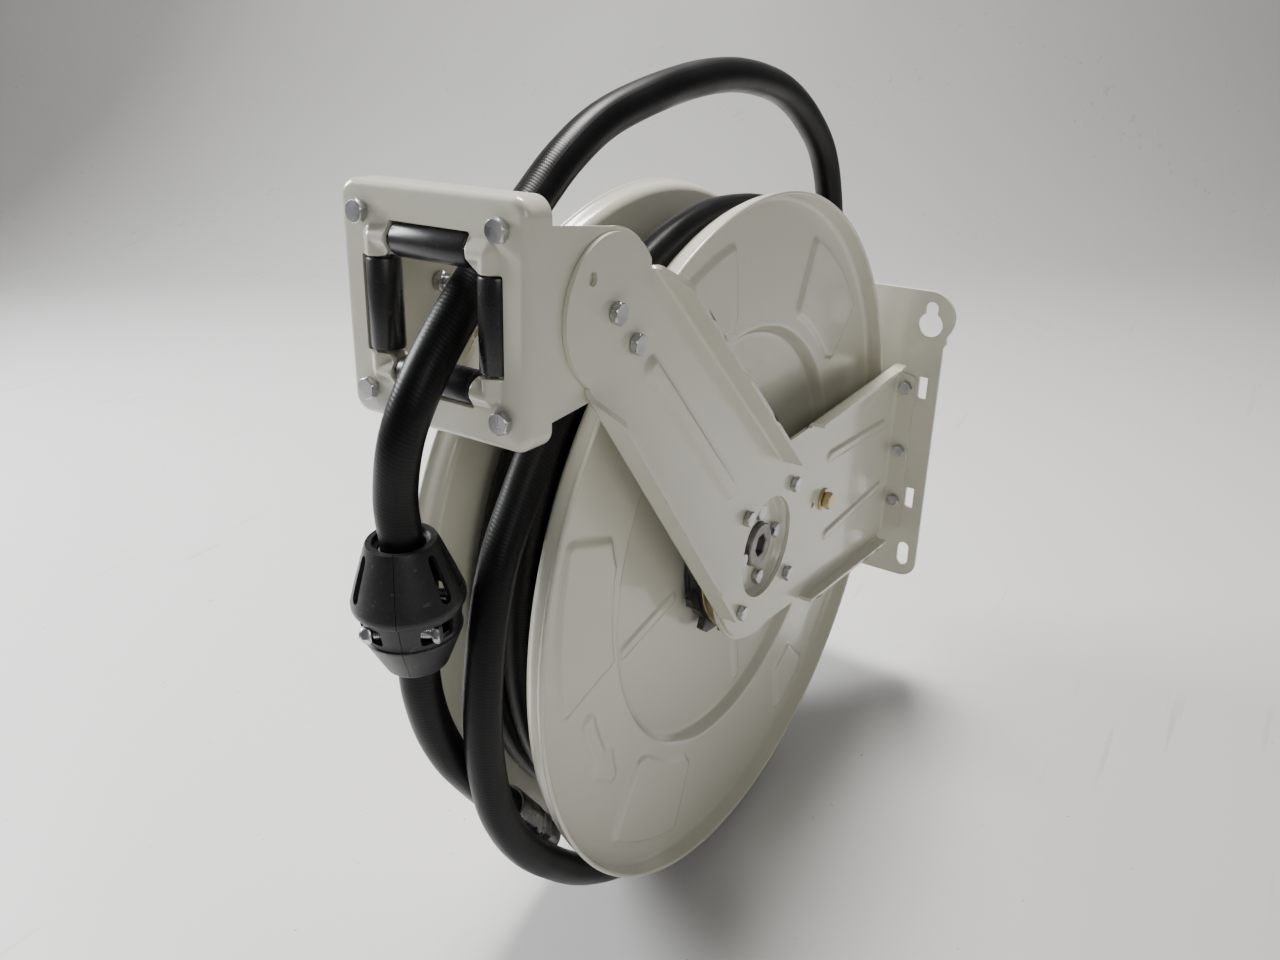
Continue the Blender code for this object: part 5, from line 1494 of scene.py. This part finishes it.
@dataclass
class StopBall:
    """Two-part ball clamped on the hose, with slots above and windows below its rim."""

    centre: tuple = (0.0, -264 * MM, 84 * MM)
    turn: float = np.radians(33)
    wall: float = 2.4 * MM
    spread: float = 24 * MM
    profile: tuple = (
        (11.2, -34), (14.5, -34), (15.3, -33.2), (23.6, -14.6), (23.7, -13.9), (22.9, -13.2), (22.8, -12),
        (24.6, -0.6), (26.4, 0.8), (26.7, 1.8), (26.7, 3.6), (26.4, 4.6), (23.2, 14.4), (16.9, 31.8),
        (16.2, 33), (13.4, 33), (13.1, 32.4), (13.1, 30.4), (11.0, 30.2),
    )

    def lengths(self) -> Array:
        """Distance walked along the profile at each of its points."""
        points = np.array(self.profile) * MM
        return np.concatenate(([0], np.cumsum(np.linalg.norm(np.diff(points, axis=0), axis=1))))

    def walked_at(self, height: float) -> float:
        """Distance along the outside where it passes a height."""
        points, walked = np.array(self.profile) * MM, self.lengths()
        return float(np.interp(height, points[1:15, 1], walked[1:15]))

    def place(self) -> Matrix:
        """Frame in the middle of the ball, turned about the hose."""
        return Matrix.Translation(Vector(HUB + np.array(self.centre))) @ Matrix.Rotation(self.turn, 4, "Z")

    def build_half(self, side: Side) -> Object:
        """One half: a developed sheet with holes, rolled up round the hose."""
        points, walked = np.array(self.profile) * MM, self.lengths()
        gap = 0.006
        wide = np.pi * self.spread
        corners = [(gap * self.spread, 0), (wide - gap * self.spread, 0),
                   (wide - gap * self.spread, walked[-1]), (gap * self.spread, walked[-1])]
        outline = np.array(corners)
        holes = []
        for degrees in (57, 90, 123):
            u = np.radians(degrees) * self.spread
            low, high = self.walked_at(10 * MM), self.walked_at(27 * MM)
            holes.append(capsule((u, low), (u, high), 3.0 * MM, 9))
        for first, last in ((22, 66), (114, 158)):
            a, b = np.radians(first) * self.spread, np.radians(last) * self.spread
            low, high = self.walked_at(-11.4 * MM), self.walked_at(-2.2 * MM)
            holes.append(filleted([(a, low), (b, low), (b, high), (a, high)], [1.6 * MM] * 4, 4))
        guides = [np.array(((gap * self.spread, w), (wide - gap * self.spread, w))) for w in walked[1:-1]]

        def onto(block: Array) -> Array:
            angle = block[:, 0] / self.spread
            radius = np.interp(block[:, 1], walked, points[:, 0])
            height = np.interp(block[:, 1], walked, points[:, 1])
            local = np.column_stack((side.value * radius * np.sin(angle), -radius * np.cos(angle), height))
            return placed(local, self.place())

        flat, faces = triangulated(outline, holes, guides, [], 1.7 * MM)
        if side is Side.LEFT:
            faces = faces[:, ::-1]
        obj = mesh_object("ball_half_" + side.word, onto(flat), [faces], sharp=32)
        return add_thickness(obj, self.wall)

    def build(self) -> list:
        """Both halves and the two screws that clamp them."""
        halves = []
        for side in Side:
            half = self.build_half(side)
            put(half, "bracket", "moulding", BALL_PLASTIC, "stop_ball_" + side.word)
            halves.append(half)
        place = self.place()
        for k, y in enumerate((-17 * MM, 17 * MM)):
            seat = place @ Vector((13.5 * MM, y, -7 * MM))
            out = place.to_3x3() @ Vector((1, 0, 0))
            screw = HexBolt(flats=8 * MM, head=3.5 * MM, radius=2.5 * MM, tail=2 * MM)
            obj = screw.built(f"ball_screw_{k + 1}", along(seat, tuple(out)), 27 * MM)
            put(obj, "bracket", "zinc", ZINC)
            halves.append(obj)
        return halves


@dataclass
class Hose:
    """The free length of hose with its ball, ferrule and threaded end."""

    diameter: float = 20 * MM
    spacing: float = 5 * MM

    def route(self) -> Array:
        """Centreline: smooth to the ball, straight through it, smooth below it."""
        upper = smooth_curve(HUB + np.array(LOOSE_TURN) * MM, self.spacing)
        lower = smooth_curve(HUB + np.array(HANGING_END) * MM, self.spacing)
        steps = int(round(np.linalg.norm(lower[0] - upper[-1]) / self.spacing))
        shares = np.linspace(0, 1, steps + 1)[1:-1, None]
        middle = upper[-1] + (lower[0] - upper[-1]) * shares
        return np.vstack((upper, middle, lower))

    def end_place(self) -> Matrix:
        """Frame at the hose's end, +Z on along its axis."""
        start, end = (HUB + np.array(p) * MM for p in HANGING_END[-2:])
        return along(end, tuple(end - start))

    def crimped(self, points: Array) -> Array:
        """Ferrule's outside pressed to ten flats between its collars."""
        turns = np.arctan2(points[:, 1], points[:, 0])
        radius = np.hypot(points[:, 0], points[:, 1])
        pressed = 11.75 * MM / np.cos((turns + np.pi / 10) % (np.pi / 5) - np.pi / 10)
        share = ramp(points[:, 2], -30 * MM, -28 * MM) * (1 - ramp(points[:, 2], -6 * MM, -4 * MM))
        target = np.where(radius > 11.3 * MM, radius + (np.minimum(radius, pressed) - radius) * share, radius)
        return points * np.column_stack((target / radius, target / radius, np.ones(len(points))))

    def build_ferrule(self) -> Object:
        """Crimped sleeve over the hose's end."""
        inner, outer = 10.6 * MM, 12.2 * MM
        heights = np.linspace(-33, -1, 33) * MM
        wall = [(outer, h) for h in heights]
        wall[2] = (11.6 * MM, wall[2][1])
        wall[-3] = (11.6 * MM, wall[-3][1])
        eased = outer - 0.5 * MM
        back, front = [(inner, -34 * MM), (eased, -34 * MM)], [(eased, 1.9 * MM), (inner, 1.9 * MM)]
        profile = back + wall + front
        obj = turned("crimped_ferrule", np.array(profile), self.end_place(), 60, self.crimped)
        return put(obj, "bracket", "zinc", ZINC, "hose_ferrule")

    def build_fitting(self) -> Object:
        """Threaded end beyond the ferrule."""
        rows = ((0.0, 0.3), (9.6, 0.3), (9.6, 2.4), (10.4, 2.4), (12.6, 2.9), (12.6, 12.6), (10.4, 13.2))
        obj = ThreadedEnd(rows, 13.3 * MM, 30.3 * MM).built("threaded_end", self.end_place())
        return put(obj, "bracket", "zinc", ZINC, "end_fitting")

    def build(self) -> None:
        route = self.route()
        tube = swept_tube("free_hose", route, self.diameter / 2, 30)
        put(tube, "bracket", "rubber", RUBBER, "hose_run")
        pieces = StopBall().build() + [self.build_ferrule(), self.build_fitting()]


# ================================================================ drum
@dataclass
class Emboss:
    """A raised panel of the disc: a polygon of (degrees, millimetres from the hub)."""

    corners: tuple
    rise: float = 2.4 * MM
    edge: float = 1.2 * MM
    mean: float = 185 * MM

    def heights(self, turns: Array, reach: Array) -> Array:
        """Smooth step of the distance to the polygon, rolled out at the mean radius."""
        middle = np.radians(np.mean([c[0] for c in self.corners]))
        away = (turns - middle + np.pi) % TURN - np.pi
        points = np.column_stack((away * self.mean, reach))
        line = [((np.radians(c[0]) - middle) * self.mean, c[1] * MM) for c in self.corners]
        loop = filleted(line, [4 * MM] * len(line), 4)
        out = np.zeros(len(points))
        low, high = loop.min(axis=0) - 4 * MM, loop.max(axis=0) + 4 * MM
        near = np.all((points > low) & (points < high), axis=1)
        out[near] = self.rise * ramp(depth_in(points[near], loop), -self.edge, self.edge)
        return out


@dataclass
class Disc:
    """Side disc: dished middle with ribs, embossed panels and a rolled lip."""

    side: Side
    hole: float = 17.1 * MM
    dish: float = 27 * MM
    plane: float = 35 * MM
    slope: tuple = (140.5 * MM, 147 * MM)
    sheet: float = 1.5 * MM
    rib_half: float = 5 * MM
    steps: int = 600
    panels: tuple = (
        Emboss(((95, 206), (95, 161), (98, 155), (121, 155), (128, 206))),
        Emboss(((62.6, 211), (62.5, 158), (36.5, 158), (32.7, 165), (34.6, 214))),
        Emboss(((-55, 215), (-57, 173), (-66, 173), (-69, 215))),
        Emboss(((-113.5, 213), (-113.5, 163), (-117, 157), (-139, 157), (-142, 163), (-138, 213))),
        Emboss(((155, 207), (154.6, 167), (160, 157), (183, 152), (185, 201))),
        Emboss(((-170, 187), (-170, 176), (-157, 176), (-157, 170), (-146, 181), (-157, 193), (-157, 187)),
               1.3 * MM, 1.1 * MM),
    )
    ribs: tuple = (95.0, 188.0, -82.0, 5.0)

    def front(self) -> Array:
        """Outer face from the hub's hole to the fillet, as (radius, height)."""
        inner = np.concatenate(([self.hole, 19 * MM, 24 * MM, 34 * MM, 46 * MM, 56 * MM],
                                np.arange(63, 138, 2.0) * MM, np.linspace(*self.slope, 9),
                                np.arange(149, 223.5, 1.5) * MM))
        return np.column_stack((inner, self.dish + (self.plane - self.dish) * ramp(inner, *self.slope)))

    def rim_and_back(self) -> Array:
        """Fillet, lip, rolled bead and the sheet's other face, back to the hole."""
        fillet = arc((224.4 * MM, self.plane + 3.6 * MM), 3.6 * MM, -np.pi / 2, np.pi / 2 * 0.9, 6)
        lip = np.array(((228.4, 41.5), (229.0, 44.4))) * MM
        bead = arc((230.4 * MM, 46.4 * MM), 1.35 * MM, np.pi, -np.pi * 1.35, 9)
        low, high = self.dish - self.sheet, self.plane - self.sheet
        back = np.array(((230.4 * MM, 43.6 * MM), (229.9 * MM, 41.0 * MM), (229.4 * MM, 38.0 * MM),
                         (227.6 * MM, 34.6 * MM), (224.4 * MM, high), (200 * MM, high), (176 * MM, high),
                         (self.slope[1], high), (self.slope[1] - 2.5 * MM, high - 1.6 * MM),
                         (self.slope[0] + 2.5 * MM, low + 1.6 * MM), (self.slope[0], low), (100 * MM, low),
                         (60 * MM, low), (self.hole, low)))
        return np.vstack((fillet, lip, bead, back))

    def pressed(self, turns: Array, reach: Array) -> Array:
        """Height of all the embossing at each point."""
        out = np.zeros(len(turns))
        for panel in self.panels:
            out += panel.heights(turns, reach)
        for degrees in self.ribs:
            ahead = np.array((np.cos(np.radians(degrees)), np.sin(np.radians(degrees))))
            flat = np.column_stack((reach * np.cos(turns), reach * np.sin(turns)))
            line = np.array((ahead * 76 * MM, ahead * 130 * MM))
            near = distance_to(flat, line)
            out += 1.5 * MM * (1 - ramp(near, self.rib_half - 2.4 * MM, self.rib_half + 0.6 * MM))
        return out

    def build(self) -> None:
        """Build the disc as a polar grid with the embossing pressed in."""
        front, rest = self.front(), self.rim_and_back()
        profile = np.vstack((front, rest))
        turns = np.linspace(0, TURN, self.steps, endpoint=False)
        grid_turns, reach = (b.ravel() for b in np.meshgrid(turns, profile[:, 0], indexing="ij"))
        height = np.tile(profile[:, 1], self.steps)
        is_front = np.tile(np.arange(len(profile)) < len(front), self.steps)
        height[is_front] += self.pressed(grid_turns[is_front], reach[is_front])
        y, z = reach * np.cos(grid_turns), reach * np.sin(grid_turns)
        points = np.column_stack((self.side.value * height, y, z))
        faces = grid_faces(self.steps, len(profile), True, True)
        obj = mesh_object("pressed_disc_" + self.side.word, HUB + points, [faces], sharp=70)
        made_outward(obj)
        crisp(obj, 55)
        put(obj, "drum", "paint", PAINT, "disc_" + self.side.word)


@dataclass
class Coil:
    """Hose wound on the drum, one tube in four layers."""

    turns: tuple = (
        (132, 10.5), (132, -10.5), (151, -21), (151, 0), (151, 21), (171, 21),
        (171, 0), (171, -21), (191, -21), (191, 0), (191, 21),
    )
    last: tuple = (20.0, 60.0, 209.0)
    change: float = 0.16

    def route(self) -> Array:
        """Spiral that steps to the next turn's place over the end of each turn."""
        end = np.arctan2(self.last[2], self.last[1])
        count = len(self.turns)
        t = np.linspace(0, count, count * 150 + 1)
        start = end - TURN * count
        whole = np.minimum(t.astype(int), count - 1)
        part = t - whole
        table = np.array(self.turns + ((np.hypot(*self.last[1:]), self.last[0]),), float)
        change = np.where(whole == count - 1, 0.42, self.change)
        share = ramp(part, 1 - change, 1.0)
        here, there = table[whole], table[whole + 1]
        radius, x = (here + (there - here) * share[:, None]).T
        angle = start + TURN * t
        points = np.column_stack((x, radius * np.cos(angle), radius * np.sin(angle))) * MM
        return HUB + points

    def build(self) -> None:
        """Build the coil."""
        route = self.route()
        length = float(np.sum(np.linalg.norm(np.diff(route, axis=0), axis=1)))
        put(swept_tube("wound_coil", route, 10 * MM, 24), "drum", "rubber", RUBBER, "wound_hose")
        log.info("wound coil is %.2f m long", length)


@dataclass
class SpringDrive:
    """Spring case on the drum, arbor in the arm's cup, ratchet and pawl."""

    def build_case(self) -> None:
        """Case wall with rolled ridges, and a cover with a raised ring."""
        wall = [(17.1, 27.3), (59.2, 27.3), (60, 28), (60, 30.6), (59.2, 31.2), (60, 31.8), (60, 40.3),
                (58.2, 40.3), (58.2, 28.8), (17.1, 28.8)]
        obj = turned("drawn_case", np.array(wall) * MM, hub_axis(), 96)
        put(obj, "drum", "black_steel", BLACK_ENAMEL, "spring_case")
        cover = [(14, 40.4), (60, 40.4), (60.6, 40.9), (60.4, 41.6), (59.6, 41.8), (57, 41.8), (55.6, 41.3),
                 (30, 41.3), (28, 41.8), (14, 41.8)]
        obj = turned("case_cover", np.array(cover) * MM, hub_axis(), 96)
        put(obj, "drum", "black_steel", YELLOW_ZINC, "spring_case_cover")

    def build_arbor(self) -> None:
        """Arbor with a chamfered nose and a hexagon socket."""
        profile = np.array(((0, 19.5), (12, 19.5), (12, 45.9), (15.5, 45.9), (15.5, 51.7), (14.7, 52.5),
                            (8.2, 52.5), (7.4, 51.6), (7.4, 46.5), (0, 46.5))) * MM

        def socket(points: Array) -> Array:
            reach = np.hypot(points[:, 0], points[:, 1])
            turns = np.arctan2(points[:, 1], points[:, 0])
            inner = (reach > 1 * MM) & (reach < 8.5 * MM) & (points[:, 2] > 46 * MM)
            scale = np.where(inner, hex_radius(turns, 2 * 0.93) , 1.0)
            return points * np.column_stack((scale, scale, np.ones(len(points))))

        obj = turned("spring_arbor_turned", profile, hub_axis(), 72, socket)
        put(obj, "bracket", "steel", STEEL, "spring_arbor")
        keep("arbor_flange", STEEL)

    def build_pawl_bolt(self) -> None:
        """Shoulder bolt with its collar and two washers."""
        seat = HUB + np.array((SUPPORT_PLANE + 1.9 * MM, *PAWL_PIVOT))
        head = HexBolt(flats=12 * MM, head=5.4 * MM, radius=4 * MM)
        obj = head.built("pawl_bolt_head", along(seat, (1, 0, 0)), 1 * MM, nut=False, turn=0.3)
        put(obj, "bracket", "yellow_zinc", YELLOW_ZINC, "pawl_bolt")
        middle = HUB + np.array((0, *PAWL_PIVOT))
        profile = np.array(((0, 29.0), (3.6, 29.0), (4, 29.4), (4, 37.6), (6.5, 37.6), (6.5, 51.2), (4, 51.2),
                            (4, 54.1), (8.4, 54.1), (8.8, 54.5), (8.8, 55.4), (8.4, 55.8), (0, 55.8))) * MM
        shaft = turned("pawl_bolt_shoulder", profile, along(middle, (1, 0, 0)), 40)
        put(shaft, "bracket", "yellow_zinc", YELLOW_ZINC)
        keep("pawl", ZINC)
        keep("pawl_clip", SPRING_STEEL)
        keep("pawl_spring", SPRING_STEEL)

    def build(self) -> None:
        """Build the drive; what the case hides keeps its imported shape."""
        self.build_case()
        self.build_arbor()
        self.build_pawl_bolt()
        keep("ratchet_wheel", BLACK_ENAMEL)
        keep("mainspring", SPRING_STEEL)
        keep("arbor_bush", BRONZE)
        keep("drum_barrel", PAINT)


@dataclass
class InletSide:
    """Bearing, swivel and threaded inlet on the left."""

    centre: float = 72 * MM

    def build(self) -> None:
        """Build the swivel and the nipple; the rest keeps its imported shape."""
        profile = np.array((
            (0, 88), (0, 84), (9.3, 84), (9.3, 56), (16.2, 56), (17, 56.8), (17, 60.4), (16.2, 61),
            (16.2, 62), (17, 62.6), (17, 81), (16.2, 81.6), (16.2, 82.6), (17, 83.2), (17, 86.8), (15.6, 88),
        )) * MM
        body = turned("swivel_turned", profile, hub_axis(Side.LEFT), 64)
        put(body, "swivel", "brass", BRASS, "swivel_body")
        rows = ((0.0, 15.6), (10.0, 15.6), (10.4, 17.3), (11.2, 17.3), (12.6, 18.0), (12.6, 25.6),
                (11.0, 26.2))
        nipple = ThreadedEnd(rows, 26.3 * MM, 43.3 * MM)
        place = along(HUB + np.array((-self.centre, 0, 0)), (0, 0, -1))
        put(nipple.built("threaded_inlet", place), "swivel", "brass", BRASS, "inlet_nipple")
        keep("swivel_seal", SEAL_RUBBER)
        keep("bearing_housing", STEEL)
        keep("shaft_bearing", BRONZE)
        keep("hollow_shaft", STEEL)
        keep("outlet_pipe", ZINC)


# ================================================================ studio
@dataclass(frozen=True)
class StudioFloor(Finish):
    """Painted boards: pale grey with fine scratches and a few specks."""

    def dress(self, graph: Graph, shader: Node) -> None:
        """Slow tone, thin crossing scratches and dark specks."""
        vector = object_vector(graph)
        marks = effect(graph, Effect.SMUDGES, vector, Scale=2.2)
        tone = graph.mixed(marks.outputs["Tone"], self.colour, tuple(c * 0.955 for c in self.colour))
        lines = None
        for turn, scale in ((0.5, 11.0), (2.1, 8.0), (1.2, 14.0)):
            stretch = graph.node("ShaderNodeMapping")
            stretch.inputs["Rotation"].default_value = (0.0, 0.0, turn)
            stretch.inputs["Scale"].default_value = (1.0, 0.05, 1.0)
            graph.join(vector, stretch.inputs["Vector"])
            fine = noise(graph, stretch.outputs["Vector"], scale * 6, 2.0)
            thin = graph.spread(fine, 0.705, 0.73, (0.0, 1.0))
            lines = thin if lines is None else graph.maths("MAXIMUM", lines, thin)
        gate = graph.spread(noise(graph, vector, 3.0, 2.0), 0.48, 0.62, (0.0, 1.0))
        scratch = graph.maths("MULTIPLY", graph.maths("MULTIPLY", lines, gate), 0.32)
        scratched = graph.mixed(scratch, tone, (0.36, 0.35, 0.34))
        specks = graph.spread(noise(graph, vector, 160.0, 1.0), 0.80, 0.82, (0.0, 0.6))
        graph.join(graph.mixed(specks, scratched, (0.2, 0.2, 0.2)), shader.inputs["Base Color"])
        graph.join(graph.spread(marks.outputs["Tone"], 0, 1, (0.42, 0.55)), shader.inputs["Roughness"])


@dataclass
class Studio:
    """Camera, floor with a swept backdrop, and soft lights."""

    eye: tuple = (0.3046, -0.7746, 0.3492)
    heading: float = np.radians(33.68)
    dip: float = np.radians(26.37)
    roll: float = -0.0136
    lens: float = 27.59
    floor: float = -0.2290
    width: float = 4.6
    back: float = 1.55
    bend: float = 0.9
    high: float = 2.6

    def build_camera(self) -> None:
        """Camera looking down along its heading, turned by its roll."""
        c, s = np.cos(self.heading), np.sin(self.heading)
        ahead = Vector((-s * np.cos(self.dip), c * np.cos(self.dip), -np.sin(self.dip)))
        level = Vector((c, s, 0))
        upward = level.cross(ahead)
        right = level * np.cos(self.roll) + upward * np.sin(self.roll)
        up = upward * np.cos(self.roll) - level * np.sin(self.roll)
        matrix = Matrix((right, up, -ahead)).transposed().to_4x4()
        matrix.translation = self.eye
        data = bpy.data.cameras.new("camera")
        data.lens = self.lens
        data.sensor_width = 36
        data.clip_start = 0.02
        camera = bpy.data.objects.new("camera", data)
        camera.matrix_world = matrix
        bpy.context.scene.collection.objects.link(camera)
        bpy.context.scene.camera = camera

    def build_floor(self) -> None:
        """Floor that curves up into a backdrop, square to the camera's heading."""
        flat = np.array(((-3.2, 0.0), (-1.6, 0.0), (0.0, 0.0), (self.back, 0.0)))
        curve = arc((self.back, self.bend), self.bend, -np.pi / 2, np.pi / 2, 24)
        wall = np.array(((self.back + self.bend, self.high),))
        profile = np.vstack((flat, curve[1:], wall))
        across = np.linspace(-self.width, self.width, 5)
        c, s = np.cos(self.heading), np.sin(self.heading)
        a, p = np.meshgrid(across, np.arange(len(profile)), indexing="ij")
        reach, height = profile[p.ravel(), 0], profile[p.ravel(), 1]
        a = a.ravel()
        points = np.column_stack((a * c - reach * s, -0.2 + a * s + reach * c, self.floor + height))
        obj = mesh_object("studio_floor", points, [grid_faces(len(across), len(profile))], sharp=80)
        made_upward(obj)
        StudioFloor("studio_paint", (0.70, 0.695, 0.69)).on(obj)

    def build_light(
        self, name: str, place: tuple, target: tuple, size: float, power: float, tint: tuple
    ) -> None:
        """Square soft light aimed at a point."""
        data = bpy.data.lights.new(name, "AREA")
        data.shape = "SQUARE"
        data.size = size
        data.energy = power
        data.color = tint
        light = bpy.data.objects.new(name, data)
        aim = Vector(target) - Vector(place)
        light.matrix_world = Matrix.Translation(place) @ aim.to_track_quat("-Z", "Y").to_matrix().to_4x4()
        bpy.context.scene.collection.objects.link(light)

    def build(self) -> None:
        """Build the studio."""
        self.build_camera()
        self.build_floor()
        middle = (0.0, -0.25, 0.05)
        self.build_light("overhead", (-0.35, 0.35, 1.8), middle, 0.6, 66.0, (1.0, 0.975, 0.94))
        self.build_light("left_window", (-1.7, -0.7, 0.9), middle, 0.7, 60.0, (0.97, 0.985, 1.0))
        self.build_light("right_fill", (1.6, -1.5, 1.2), middle, 0.9, 8.0, (1.0, 0.97, 0.92))
        world = bpy.data.worlds.new("room")
        world.use_nodes = True
        room = world.node_tree.nodes["Background"]
        room.inputs[0].default_value = (0.93, 0.94, 0.95, 1)
        room.inputs[1].default_value = 0.12
        bpy.context.scene.world = world


def made_upward(obj: Object) -> None:
    """Turn a floor's faces up."""
    if obj.data.polygons[0].normal.z < 0:
        obj.data.flip_normals()


def main() -> None:
    """Build the studio, the cord and then every sub-assembly."""
    logging.basicConfig(level=logging.INFO, format="%(message)s")
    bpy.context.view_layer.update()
    Studio().build()
    Hose().build()
    WallPlate().build()
    for side in Side:
        SupportArm(side).build()
        arm = GuideArm(side)
        arm.build()
        ear_bolts(arm)
        hub_bolts(side)
        Disc(side).build()
    RollerGuide().build()
    Coil().build()
    SpringDrive().build()
    InletSide().build()


if __name__ == "__main__":
    main()
